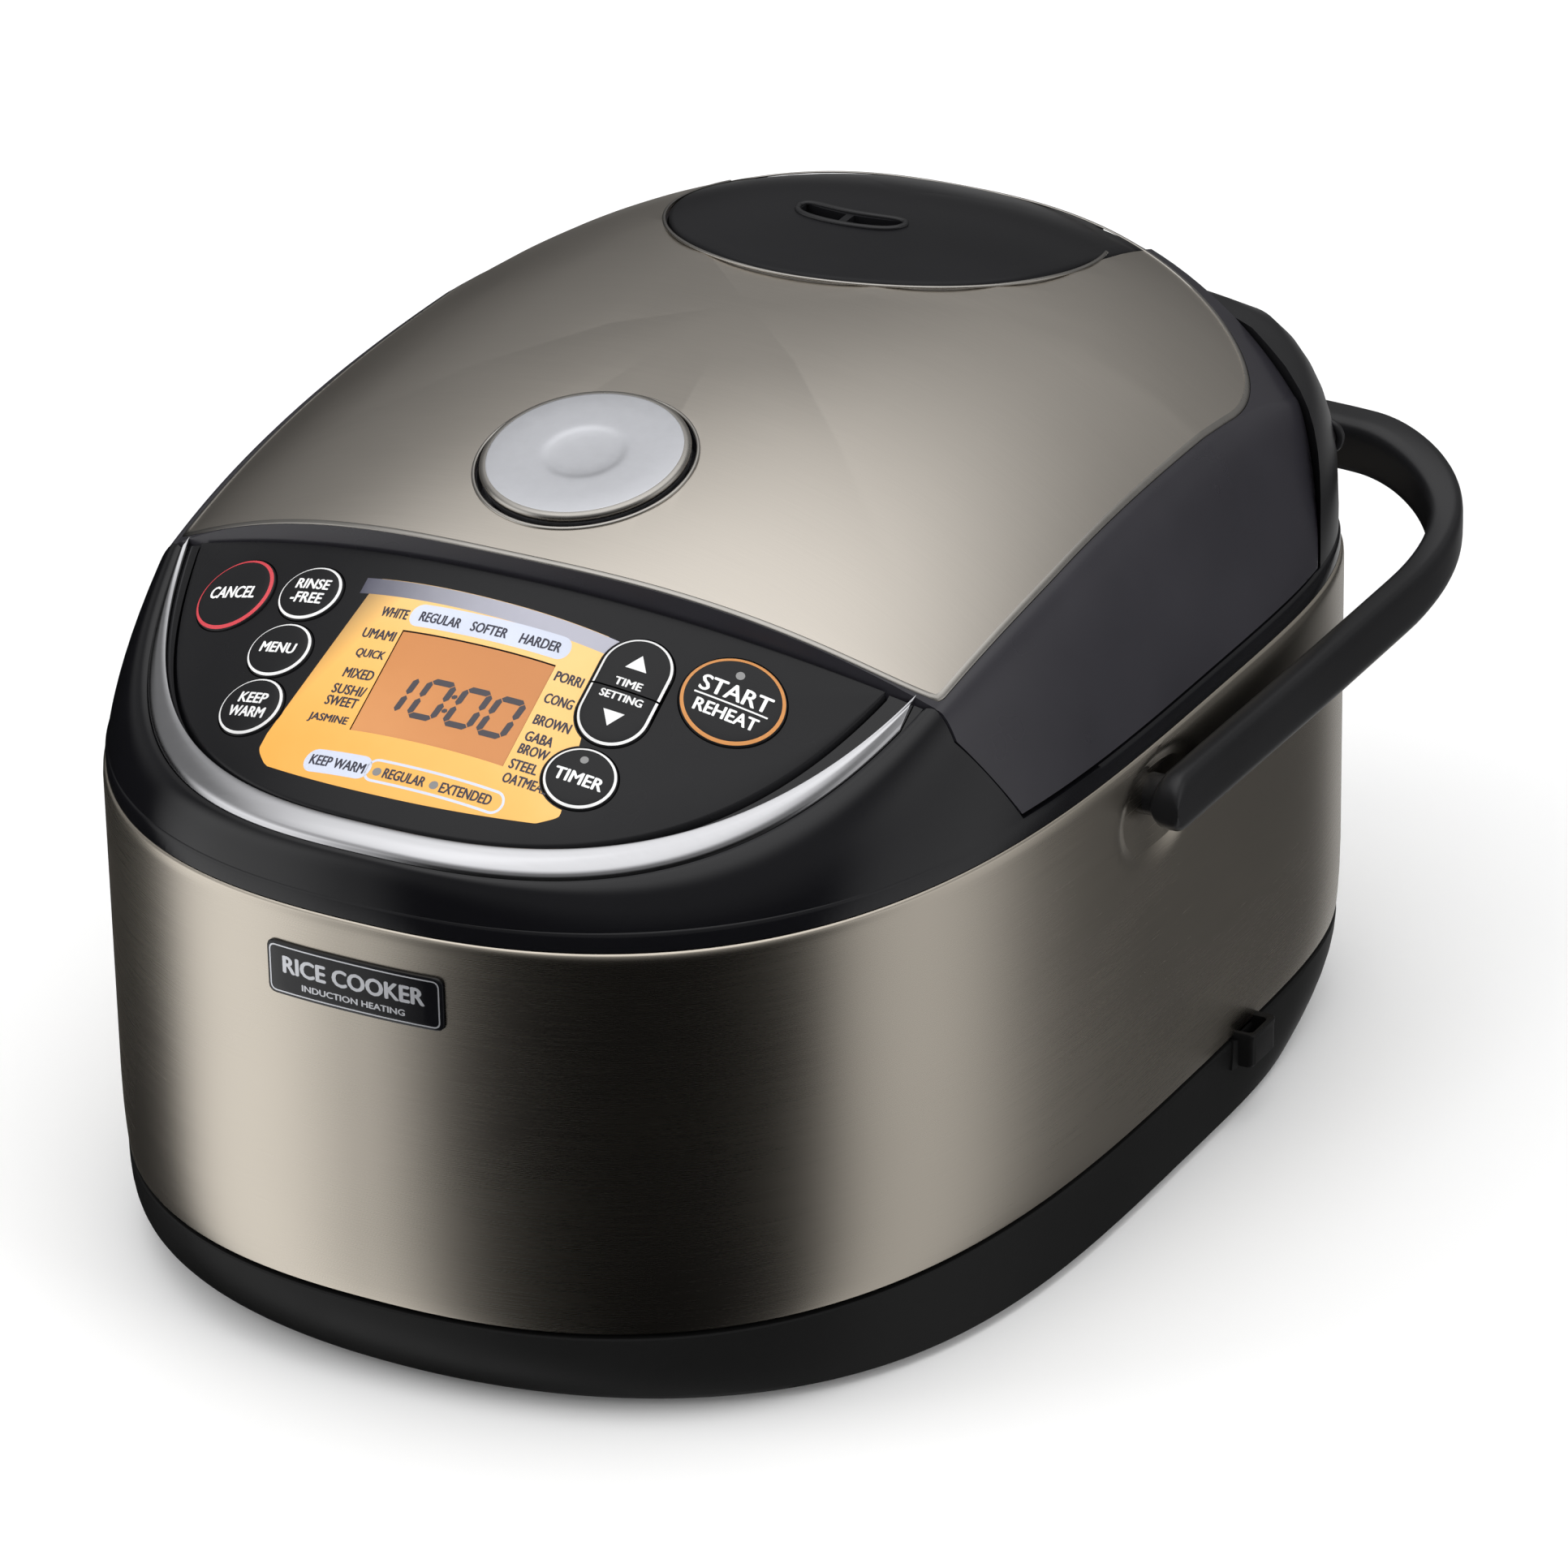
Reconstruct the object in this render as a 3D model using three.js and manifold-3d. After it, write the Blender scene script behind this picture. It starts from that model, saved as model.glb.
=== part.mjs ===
// Electric pressure rice cooker, 1.8 litre class.
// Units are millimetres, +Z is up, the control panel faces -Y and +X is to the viewer's right.
// The resting plane is Z = 0 and the box of the whole object is centred on X = 0, Y = 0.
import * as THREE from 'three';
import { mergeVertices } from 'three/addons/utils/BufferGeometryUtils.js';
import Module from 'manifold-3d';

const wasm = await Module();
wasm.setup();

// ---------------------------------------------------------------- driving dimensions
const HALF_W = 142; // half width of the steel wall
const SPLIT_Y = 26.5; // widest section of the wall
const FRONT = 228; // reach of the wall in front of that section
const REAR = 142.5; // reach of the wall behind it
const BAND_LOW = 28.8;
const BAND_TOP = 143.3;
const BAND_T = 1.2; // sheet with its folded lips
const SEAM_Z = 149.8; // lid seam along the sides
const GAP = 0.3;

const POT_Y = 36; // centre of the cooking pot
const POT_R = 105.5; // outer radius of the pot
const FLANGE_R = 109.5;
const POT_BASE = 38.5;

const PANEL_TIP_Z = 163.3; // height of the panel at its lower edge, centre line
const PANEL_TIP_Y = -192.2;
const PANEL_RISE = 0.593;
const CROWN = 35; // fall of the panel and lid from the centre line to X = 120
const CROWN_X = 120;
const CROWN_P = 2.2;
const LID_CROWN = 34.8; // the lid is a little fuller than the panel
const LID_P = 2.5;

const BUTTON_Y = -73; // open button on the lid
const BUTTON_R = 29;
const VENT_Y = 101; // steam vent cover
const VENT_R = 63;

const HINGE_Y = 150;
const HINGE_Z = 208;

const GRIP_Z = 127; // stowed handle, height of the arms
const GRIP_RISE = 20.5; // how much higher the rear bar is
const GRIP_H = 17.5;
const ARM_X = 148.2;
const ARM_T = 8.4;
const BAR_T = 15;
const BAR_Y = 195;
const PIVOT_Y = -10;
const PIVOT_Z = 128;

// ---------------------------------------------------------------- finishes
const mat = (color, roughness, metalness = 0) =>
  new THREE.MeshStandardMaterial({ color, roughness, metalness });
const steel = mat(0x9a958c, 0.3, 1);
const chrome = mat(0xd4d4d6, 0.12, 1);
const satin = mat(0xc9c9cc, 0.35, 0.9);
const gloss = mat(0x0c0c0e, 0.12);
const matte = mat(0x141415, 0.5);
const inner = mat(0x3a3a3c, 0.6);
const keyRubber = mat(0x151518, 0.3);
const amber = mat(0xe08a35, 0.3);
const rubber = mat(0x1b1b1b, 0.9);
const silicone = mat(0xb9b9b4, 0.7);
const copper = mat(0xb26a3a, 0.35, 0.9);
const board = mat(0x1d5a34, 0.6);
const aluminium = mat(0xb4b6b8, 0.4, 1);
const nonstick = mat(0x2b2b2d, 0.45, 0.3);

// ---------------------------------------------------------------- mesh helpers
const group = new THREE.Group();
group.name = 'rice_cooker';

const bare = (geometry) => {
  const g = geometry.clone();
  g.deleteAttribute('normal');
  g.deleteAttribute('uv');
  return mergeVertices(g, 1e-5);
};
const toSolid = (geometry) => {
  const g = bare(geometry);
  return new wasm.Manifold(new wasm.Mesh({
    numProp: 3,
    vertProperties: new Float32Array(g.attributes.position.array),
    triVerts: new Uint32Array(g.index.array),
  }));
};
const fromSolid = (solid) => {
  const m = solid.getMesh();
  const g = new THREE.BufferGeometry();
  g.setAttribute('position', new THREE.BufferAttribute(new Float32Array(m.vertProperties), 3));
  g.setIndex(new THREE.BufferAttribute(new Uint32Array(m.triVerts), 1));
  return g;
};
const add = (name, shape, material) => {
  const flat = (shape.getMesh ? fromSolid(shape) : bare(shape)).toNonIndexed();
  flat.computeVertexNormals();
  const mesh = new THREE.Mesh(flat, material);
  mesh.name = name;
  group.add(mesh);
  return mesh;
};

// main body of a cut shape, without the chips and hair-thin facets a cut can leave
const mainBody = (solid) => solid.simplify(0.03).decompose()
  .reduce((a, b) => (b.volume() > a.volume() ? b : a));

const geometryOf = (points, faces) => {
  const g = new THREE.BufferGeometry();
  g.setAttribute('position', new THREE.BufferAttribute(new Float32Array(points.flat()), 3));
  g.setIndex(faces.flat());
  return g;
};
// skin through closed rings of equal length; wrapped = the last ring joins the first
const loft = (rings, wrapped = false) => {
  const n = rings[0].length;
  const points = rings.flat();
  const faces = [];
  const last = wrapped ? rings.length : rings.length - 1;
  for (let i = 0; i < last; i++) {
    const a = i * n;
    const b = ((i + 1) % rings.length) * n;
    for (let j = 0; j < n; j++) {
      const k = (j + 1) % n;
      faces.push([a + j, a + k, b + k], [a + j, b + k, b + j]);
    }
  }
  if (!wrapped) {
    const cap = (ring, base, flip) => {
      const c = [0, 1, 2].map((q) => ring.reduce((s, p) => s + p[q], 0) / n);
      const id = points.push(c) - 1;
      for (let j = 0; j < n; j++) {
        const k = (j + 1) % n;
        faces.push(flip ? [id, base + k, base + j] : [id, base + j, base + k]);
      }
    };
    cap(rings[0], 0, true);
    cap(rings.at(-1), (rings.length - 1) * n, false);
  }
  return geometryOf(points, faces);
};
// turned body about a vertical axis: profile of [radius, z], bottom to top on the outside
const turn = (profile, segs = 40, cx = 0, cy = 0) => {
  const shut = profile[0][0] > 1e-6;
  const use = profile.map(([r, z]) => new THREE.Vector2(Math.max(r, 0), z));
  if (shut) use.push(use[0].clone());
  const g = new THREE.LatheGeometry(use, segs);
  g.rotateX(Math.PI / 2);
  g.translate(cx, cy, 0);
  return g;
};
const disc = (r, z0, z1, segs = 32, cx = 0, cy = 0) =>
  turn([[0, z0], [r, z0], [r, z1], [0, z1]], segs, cx, cy);
const ringOf = (r0, r1, z0, z1, segs = 32, cx = 0, cy = 0) =>
  turn([[r0, z0], [r1, z0], [r1, z1], [r0, z1]], segs, cx, cy);
const box = (w, d, h, x, y, z) => new THREE.BoxGeometry(w, d, h).translate(x, y, z);
const bar = (r, length, segs, x, y, z) =>
  new THREE.CylinderGeometry(r, r, length, segs).rotateZ(Math.PI / 2).translate(x, y, z);
const shapeOf = (points) => new THREE.Shape(points.map(([x, y]) => new THREE.Vector2(x, y)));
const prism = (points, z0, z1) => new THREE.ExtrudeGeometry(shapeOf(points), {
  depth: z1 - z0, bevelEnabled: false, steps: 1,
}).translate(0, 0, z0);
const oval = (a, b, n, p = 2) => Array.from({ length: n }, (_, i) => {
  const t = (2 * Math.PI * i) / n;
  const c = Math.cos(t);
  const s = Math.sin(t);
  return [a * Math.sign(c) * Math.abs(c) ** (2 / p), b * Math.sign(s) * Math.abs(s) ** (2 / p)];
});
const slot = (w, h, n = 8) => {
  const r = Math.min(w, h) / 2;
  const out = [];
  for (let i = 0; i <= n; i++) {
    const t = -Math.PI / 2 + (Math.PI * i) / n;
    out.push(w > h ? [w / 2 - r + r * Math.cos(t), r * Math.sin(t)]
      : [r * Math.cos(t + Math.PI / 2), h / 2 - r + r * Math.sin(t + Math.PI / 2)]);
  }
  return out.concat(out.map(([x, y]) => [-x, -y]));
};

// ---------------------------------------------------------------- outlines and surfaces
const smooth = (u) => {
  const v = Math.min(1, Math.max(0, u));
  return v * v * (3 - 2 * v);
};
// wall outline: a superellipse, flatter and fuller behind SPLIT_Y than in front of it
const wallX = (y, inset = 0) => {
  const front = y < SPLIT_Y;
  const t = Math.min(1, Math.abs(y - SPLIT_Y) / ((front ? FRONT : REAR) - inset));
  return (HALF_W - inset) * (1 - t ** (front ? 3.2 : 4.0)) ** (front ? 1 / 2.4 : 1 / 4.7);
};
const wall = (inset, n) => Array.from({ length: n }, (_, i) => {
  const t = -Math.PI / 2 + (2 * Math.PI * i) / n;
  const c = Math.cos(t);
  const s = Math.sin(t);
  const front = s < 0;
  return [
    (HALF_W - inset) * Math.sign(c) * Math.abs(c) ** (2 / (front ? 2.4 : 4.7)),
    SPLIT_Y + ((front ? FRONT : REAR) - inset) * Math.sign(s)
      * Math.abs(s) ** (2 / (front ? 3.2 : 4.0)),
  ];
});
const wallRing = (inset, z, n) => wall(inset, n).map(([x, y]) => [x, y, z]);

const panelZ = (x, y) => PANEL_TIP_Z + (y - PANEL_TIP_Y) * PANEL_RISE
  - CROWN * (Math.abs(x) / CROWN_X) ** CROWN_P;
const frameAt = (height, x, y, lift = 0) => {
  const e = 0.05;
  const normal = new THREE.Vector3(
    (height(x - e, y) - height(x + e, y)) / (2 * e),
    (height(x, y - e) - height(x, y + e)) / (2 * e), 1,
  ).normalize();
  const side = new THREE.Vector3(1, 0, 0).addScaledVector(normal, -normal.x).normalize();
  const up = normal.clone().cross(side);
  const at = new THREE.Vector3(x, y, height(x, y)).addScaledVector(normal, lift);
  return new THREE.Matrix4().makeBasis(side, up, normal).setPosition(at);
};

const crestZ = (y) => (y < 70 ? 239.5 - 25 * ((70 - y) / 184) ** 2.6
  : 239.5 - 8.2 * ((y - 70) / 60) ** 2);
const plateZ = (x, y) => crestZ(y)
  - (LID_CROWN + 0.07 * Math.max(0, y - 60)) * (Math.abs(x) / CROWN_X) ** LID_P;
const plateFront = (x) => -115.2 + 19.2 * (Math.abs(x) / 119.5) ** 2.2;
const plateSide = (y) => (y < 45 ? 122 - 2.4 * (Math.max(0, -30 - y) / 66) ** 1.5 : 122);
const lidRear = (x) => 98 + 57 * (1 - Math.min(1, Math.abs(x) / 140.5) ** 1.6) ** (1 / 1.6);
// whole outer height of the lid: crowned plate, then a wing falling to the side seam
const lidZ = (x, y) => {
  const edge = plateSide(y);
  const ax = Math.abs(x);
  if (ax <= edge) return plateZ(x, y);
  const out = Math.max(wallX(y, 1.4), edge + 1);
  const d = Math.min(1, (ax - edge) / (out - edge));
  return SEAM_Z + (plateZ(edge, y) - SEAM_Z) * (1 - d ** 1.7) ** 0.8;
};
// parting face between the lid and the panel housing: level, then rising to the front
const partZ = (y) => SEAM_Z + 1.5 * Math.max(0, -78 - y);

// lid outline, from the front centre round to the rear centre and back
const lidOutline = (inset, n) => {
  const half = [];
  const front = Math.round(n * 0.15);
  const side = Math.round(n * 0.17);
  const rear = n / 2 - front - side;
  for (let i = 0; i < front; i++) {
    const x = (119.5 - inset) * (i / front);
    half.push([x, plateFront(x) + inset]);
  }
  for (let i = 0; i < side; i++) {
    const y = -96 + inset + (98 + 96 - inset) * (i / side) ** 1.3;
    half.push([wallX(y, 1.4) - inset, y]);
  }
  for (let i = 0; i < rear; i++) {
    const a = ((i / rear) * Math.PI) / 2;
    half.push([
      (wallX(98, 1.4) - inset) * Math.cos(a) ** 1.25,
      98 + (57 - inset) * Math.sin(a) ** 1.25,
    ]);
  }
  half.push([0, 155 - inset]);
  const back = half.slice(1, -1).reverse().map(([x, y]) => [-x, y]);
  return half.concat(back);
};
// body between two height functions over concentric copies of an outline
const between = (outline, steps, top, low, cx = 0, cy = 20) => {
  const at = (k, f) => outline.map(([x, y]) => {
    const px = cx + (x - cx) * k;
    const py = cy + (y - cy) * k;
    return [px, py, f(px, py)];
  });
  return loft([
    ...steps.map((k) => at(k, low)),
    ...[...steps].reverse().map((k) => at(k, top)),
  ]);
};

// body swept across X: section(x) gives its outline as [y, z] points
const acrossX = (x0, x1, n, section, even = false) => loft(Array.from({ length: n + 1 }, (_, i) => {
  const u = even ? i / n : (1 - Math.cos((Math.PI * i) / n)) / 2;
  const x = x0 + (x1 - x0) * u;
  return section(x).map(([y, z]) => [x, y, z]);
}));

// ---------------------------------------------------------------- steel wall
const scoop = (x, y, z) => {
  const dy = (y - PIVOT_Y - 2) / 24;
  const dz = (z - PIVOT_Z + 4) / 17;
  const d = dy * dy + dz * dz;
  return Math.abs(x) > 120 && d < 1 ? 4.5 * (1 - d) ** 1.2 : 0;
};
const bandPoints = wall(0, 56);
const bandRing = (inset, z, dent = 0) => wall(inset, bandPoints.length).map(([x, y]) => [
  x - Math.sign(x) * (dent ? scoop(x, y, z) : 0), y, z]);
const bandRows = [28.8, 40, 106, 118, 130, 141.5];
const lowIn = (z) => 0.9 * Math.max(0, (50 - z) / 21) ** 2;
const band = toSolid(loft([
  ...bandRows.map((z) => bandRing(lowIn(z), z, 1)),
  bandRing(0.7, BAND_TOP, 1),
  bandRing(4, BAND_TOP, 0),
  bandRing(4, BAND_TOP - BAND_T, 0),
  ...[...bandRows].reverse().slice(1).map((z) => bandRing(lowIn(z) + BAND_T, z + 0.001, 1)),
], true));
const pivotHole = toSolid(bar(9.2, 320, 24, 0, PIVOT_Y, PIVOT_Z));
const cordHole = toSolid(new THREE.CylinderGeometry(8.6, 8.6, 40, 20).translate(-70, 165, 62));
add('body_band', mainBody(band.subtract(pivotHole).subtract(cordHole)), steel);

// ---------------------------------------------------------------- base and feet
const N = 52;
const baseOuter = [2, 5, 11, 19, 28.4];
// the base draws in towards the floor, most at its front, rear and corners
const baseRing = (z, more = 0) => {
  const k = (1 - Math.min(1, (z - 2) / 26)) ** 2.2;
  return Array.from({ length: N }, (_, i) => {
    const t = -Math.PI / 2 + (2 * Math.PI * i) / N;
    const c = Math.cos(t);
    const q = Math.sin(t);
    const [across, along] = q < 0 ? [2.4 - 0.34 * k, 3.2 + 0.73 * k] : [4.7 - 1.8 * k, 4 - k];
    return [
      (HALF_W - 0.9 - 0.8 * k - more) * Math.sign(c) * Math.abs(c) ** (2 / across),
      SPLIT_Y + ((q < 0 ? FRONT : REAR) - 0.9 - 12 * k - more) * Math.sign(q)
        * Math.abs(q) ** (2 / along),
      z,
    ];
  });
};
const tray = toSolid(loft([
  ...baseOuter.map((z) => baseRing(z)), baseRing(28.4, 4),
  ...[21, 5].map((z) => baseRing(z, 2.4)),
]));
let base = tray;
for (let i = 0; i < 5; i++) {
  base = base.subtract(toSolid(box(46, 3, 12, 0, -132 + 7 * i, 4)));
}
add('base_shell', base, matte);
const footAt = [[-88, -118], [88, -118], [-92, 122], [92, 122]];
footAt.forEach(([x, y], i) => add(`foot_${i + 1}`,
  turn([[0, 0], [8, 0], [9, 1.95], [0, 1.95]], 16, x, y), rubber));

// spatula holder socket on the right side
const socketY = 48.5;
const socket = toSolid(box(20, 15, 10.6, 137.6, socketY, 24.6))
  .subtract(toSolid(box(9, 10.4, 13, 141.2, socketY, 28.6)));
add('spatula_socket', socket.subtract(toSolid(loft([
  ...baseOuter.map((z) => baseRing(z, -0.3)), baseRing(28.7, -0.3).map(([x, y]) => [x, y, 28.5]),
  wallRing(-0.3, 28.6, N), wallRing(-0.3, 34, N)]))), matte);

// ---------------------------------------------------------------- upper body
const trimY = (x, shrink = 0) => SPLIT_Y
  - (222.6 - shrink) * (1 - Math.min(1, Math.abs(x) / (125 - shrink)) ** 2.4) ** (1 / 3.2);
const fasciaZ = (x, y) => {
  const a = Math.abs(x);
  const b = Math.max(1e-6, SPLIT_Y - y);
  const wallAt = ((a / (HALF_W - 0.9)) ** 2.4 + (b / (FRONT - 0.9)) ** 3.2) ** (1 / 2.8);
  const trimAt = ((a / 125) ** 2.4 + (b / 222.6) ** 3.2) ** (1 / 2.8);
  if (trimAt <= 1) return panelZ(x, y);
  const d = Math.min(1, (trimAt - 1) / Math.max(1e-6, trimAt - wallAt));
  const k = 1 / trimAt;
  const edge = panelZ(x * k, SPLIT_Y + (y - SPLIT_Y) * k);
  return BAND_TOP + 1 + (edge - BAND_TOP - 1) * (1 - d ** 1.9) ** 0.7;
};
const profileBar = (points, x0, x1) => new THREE.ExtrudeGeometry(shapeOf(points), {
  depth: x1 - x0, bevelEnabled: false,
}).rotateX(Math.PI / 2).rotateZ(Math.PI / 2).translate(x0, 0, 0);
const planFront = (lead, n = 24) => [
  [150, -96 - lead], [150, 160], [-150, 160], [-150, -96 - lead],
  ...Array.from({ length: n + 1 }, (_, i) => {
    const x = -119.5 + (239 * i) / n;
    return [x, plateFront(x) - lead];
  })];
const abovePart = (drop) => profileBar([
  [200, SEAM_Z - drop], [200, 290], [-150, 290], [-150, partZ(-150) - drop],
  [-78, SEAM_Z - drop]], -160, 160);
const belowPart = profileBar([
  [200, 100], [200, SEAM_Z], [-78, SEAM_Z], [-150, partZ(-150)], [-150, 100]], -160, 160);

const ringOuter = toSolid(loft([
  wallRing(0.9, BAND_TOP + 0.2, N), wallRing(0.9, 147.8, N),
  wallRing(2, SEAM_Z - GAP, N)]));
const frontOutline = Array.from({ length: 37 }, (_, i) => {
  const t = -Math.PI + (Math.PI * i) / 36;
  const c = Math.cos(t);
  return [(HALF_W - 0.9) * Math.sign(c) * Math.abs(c) ** (2 / 2.4),
    SPLIT_Y - (FRONT - 0.9) * Math.abs(Math.sin(t)) ** (2 / 3.2)];
}).filter(([, y]) => y < -40);
const housingBlock = toSolid(between(frontOutline,
  [0.5, 0.86, 0.92, 0.95, 0.975, 0.99, 1],
  (x, y) => Math.max(fasciaZ(x, y), BAND_TOP + 1), () => BAND_TOP + 0.2, 0, -60));
const lidSpace = toSolid(prism(planFront(1.1), 90, 300)).intersect(toSolid(abovePart(0.5)));
const potHole = toSolid(disc(POT_R + 1.6, 120, 260, 44, 0, POT_Y));
// room for the electronics, open to the panel above and to the body below
const cavity = toSolid(acrossX(-98, 98, 20, (x) => {
  const outer = trimY(x, 3.5);
  const rim = trimY(x, 13);
  const rear = plateFront(x) - 5;
  return [[outer, 140], [-82, 140], [-82, 147.4], [rear, partZ(rear + 3.5) - 3], [rear, 260],
    [rim, 260], [rim, panelZ(x, rim) - 8], [outer, Math.max(147, panelZ(x, outer) - 15)]];
}));
const PANEL_END = 107;
const TRIM_END = 114;
const panelBody = (n, grow, top, low) => toSolid(acrossX(-PANEL_END - grow, PANEL_END + grow, n, (x) => {
  const rear = plateFront(x) - 1.1 + grow * 0.6;
  const front = Math.min(trimY(x, 7.9 - grow), rear - 0.6);
  return [[front, panelZ(x, front) + low], [rear, panelZ(x, rear) + low],
    [rear, panelZ(x, rear) + top], [front, panelZ(x, front) + top]];
}));
const keyTool = (x, y, shape, low, high) => toSolid(prism(shape, low, high)
  .applyMatrix4(frameAt(panelZ, x, y)));
const keys = [
  ['cancel_button', -81.2, -124.2, oval(13.6, 12.2, 24)],
  ['rinse_button', -55.2, -126.9, oval(10.5, 9.1, 20)],
  ['menu_button', -55.2, -143.6, oval(10.5, 9.1, 20)],
  ['keep_warm_button', -54.4, -160.2, oval(10.3, 9.6, 20)],
  ['timer_button', 47.6, -160.8, oval(10.3, 9.6, 20)],
  ['start_button', 74.3, -125.8, oval(14.6, 13.4, 24)],
];
const pillHalf = (sign) => {
  const w = 10.2;
  const h = 17.4;
  const arc = Array.from({ length: 13 }, (_, i) => {
    const t = (Math.PI * i) / 12;
    return [w * Math.cos(t), h - w + w * Math.sin(t)];
  });
  const pts = [[w, 0.25], ...arc, [-w, 0.25]];
  return sign > 0 ? pts : pts.map(([x, y]) => [x, -y]).reverse();
};
keys.push(['time_up_button', 47.7, -136.2, pillHalf(1)]);
keys.push(['time_down_button', 47.7, -136.2, pillHalf(-1)]);
const scaled = (shape, grow) => {
  const cx = shape.reduce((q, p) => q + p[0], 0) / shape.length;
  const cy = shape.reduce((q, p) => q + p[1], 0) / shape.length;
  return shape.map(([x, y]) => {
    const l = Math.hypot(x - cx, y - cy);
    return [cx + (x - cx) * (1 + grow / l), cy + (y - cy) * (1 + grow / l)];
  });
};
const pill = (grow) => slot(2 * (10.2 + grow), 2 * (17.4 + grow), 10);
const LCD_X = 2.8;
const lcdRect = (grow) => [
  [LCD_X - 23.4 - grow, -165 - grow], [LCD_X + 23.4 + grow, -165 - grow],
  [LCD_X + 23.4 + grow, -136.6 + grow], [LCD_X - 23.4 - grow, -136.6 + grow]];
const lcdBody = (grow, top, low) => acrossX(lcdRect(grow)[0][0], lcdRect(grow)[1][0], 6, (x) => {
  const [front, rear] = [lcdRect(grow)[0][1], lcdRect(grow)[2][1]];
  return [[front, panelZ(x, front) + low], [rear, panelZ(x, rear) + low],
    [rear, panelZ(x, rear) + top], [front, panelZ(x, front) + top]];
}, true);
const tools = [
  ...keys.slice(0, 6).map(([, x, y, shape]) => keyTool(x, y, scaled(shape, 0.35), -9, 6)),
  keyTool(47.7, -136.2, pill(0.35), -9, 6),
];
const lcdTool = toSolid(lcdBody(0.3, 6, -6));
const opened = (solid) => tools.reduce((s, t) => s.subtract(t), solid.subtract(lcdTool));
// bright trim along the lower edge of the panel, let into a groove
const trimBody = (n, grow, low, high) => loft(Array.from({ length: n + 1 }, (_, i) => {
  const u = Math.cos((Math.PI * i) / n);
  const x = -u * (TRIM_END + grow);
  const w = 7.2 - 4.6 * Math.abs(u) ** 4;
  const at = (shrink, lift) => [x, trimY(x, shrink), panelZ(x, trimY(x, shrink)) + lift];
  const a = 0.35 - grow;
  const b = 0.1 + w + grow;
  return [at(b, high - 0.4), at(b - 0.6, high + 0.1), at(a + 1, high), at(a, high - 0.7),
    at(a, low), at(b, low)];
}));
const groove = toSolid(trimBody(28, 0.25, -0.9, 8));
const catchSlot = toSolid(box(18.6, 14.5, 8, 0, -93.6, 168));
const shoulder = ringOuter.add(housingBlock.subtract(lidSpace)).subtract(potHole)
  .subtract(cavity).subtract(panelBody(28, 0.9, 9, -2.2)).subtract(catchSlot).subtract(groove)
  .subtract(tools[0]).subtract(tools[5]);
add('shoulder_frame', mainBody(shoulder), gloss);
add('control_panel', mainBody(opened(panelBody(28, 0, 1.1, -1.9))), gloss);
add('lcd_display', lcdBody(0, 0.9, -4), amber);

add('chrome_trim', trimBody(28, 0, -0.6, 1.7), chrome);

keys.forEach(([name, x, y, shape]) => {
  const at = (grow, z) => scaled(shape, grow).map(([px, py]) => [px, py, z]);
  const g = loft([at(0, -5), at(0, 1.1), at(-0.8, 1.8), at(-4, 2.4)]);
  add(name, g.applyMatrix4(frameAt(panelZ, x, y)), keyRubber);
});

// badge on the front wall
const frontY = (x, lift) => SPLIT_Y
  - (FRONT + lift) * (1 - (Math.abs(x) / (HALF_W + lift)) ** 2.4) ** (1 / 3.2);
add('badge_plate', acrossX(-27.2, 27.2, 8, (x) => {
  const [face, edge, back] = [1, 0.7, 0.12].map((lift) => frontY(x, lift));
  return [[back, 116.6], [back, 132.4], [edge, 132.4], [face, 131.8], [face, 117.2], [edge, 116.6]];
}, true), satin);

// ---------------------------------------------------------------- lid
const lidSteps = [0.4, 0.72, 0.88, 0.925, 0.96, 0.985, 1];
const plateSteps = [0.4, 0.72, 1];
const plateOutline = (inset, n = 56) => {
  const half = [];
  const front = Math.round(n * 0.16);
  const side = Math.round(n * 0.13);
  const rear = n / 2 - front - side;
  for (let i = 0; i < front; i++) {
    const x = (118.6 - inset) * Math.sin((Math.PI * i) / 2 / front);
    half.push([x, plateFront(x) + inset + 0.4 + 2.4 * (x / 119) ** 14]);
  }
  for (let i = 0; i < side; i++) {
    const y = -92 + (78 + 92) * (i / side);
    half.push([plateSide(y) - 0.6 - inset, y]);
  }
  for (let i = 0; i <= rear; i++) {
    const a = ((i / rear) * Math.PI) / 2;
    half.push([(121.4 - inset) * Math.cos(a) ** 0.9, 78 + (70 - inset) * Math.sin(a) ** 0.96]);
  }
  half[half.length - 1][0] = 0;
  return half.concat(half.slice(1, -1).reverse().map(([x, y]) => [-x, y]));
};
// vent cover outline: round in front, running back to the rear edge of the lid
const ventOutline = (grow) => {
  const r = VENT_R + grow;
  const front = Array.from({ length: 19 }, (_, i) => {
    const t = Math.PI + (Math.PI * i) / 18;
    return [r * Math.cos(t), VENT_Y + r * Math.sin(t)];
  });
  return [...front, ...[63, 50, 34, 17, 0, -17, -34, -50, -63].map((x) => [
    x * (1 + grow / 64), lidRear(x) + grow])];
};
const ventZ = (x, y) => plateZ(x, y) + 0.6
  + 2.4 * Math.max(0, 1 - ((x / 60) ** 2 + ((y - 104) / 60) ** 2)) ** 1.2
  - 1.5 * smooth((y - 92) / 55);

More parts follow.
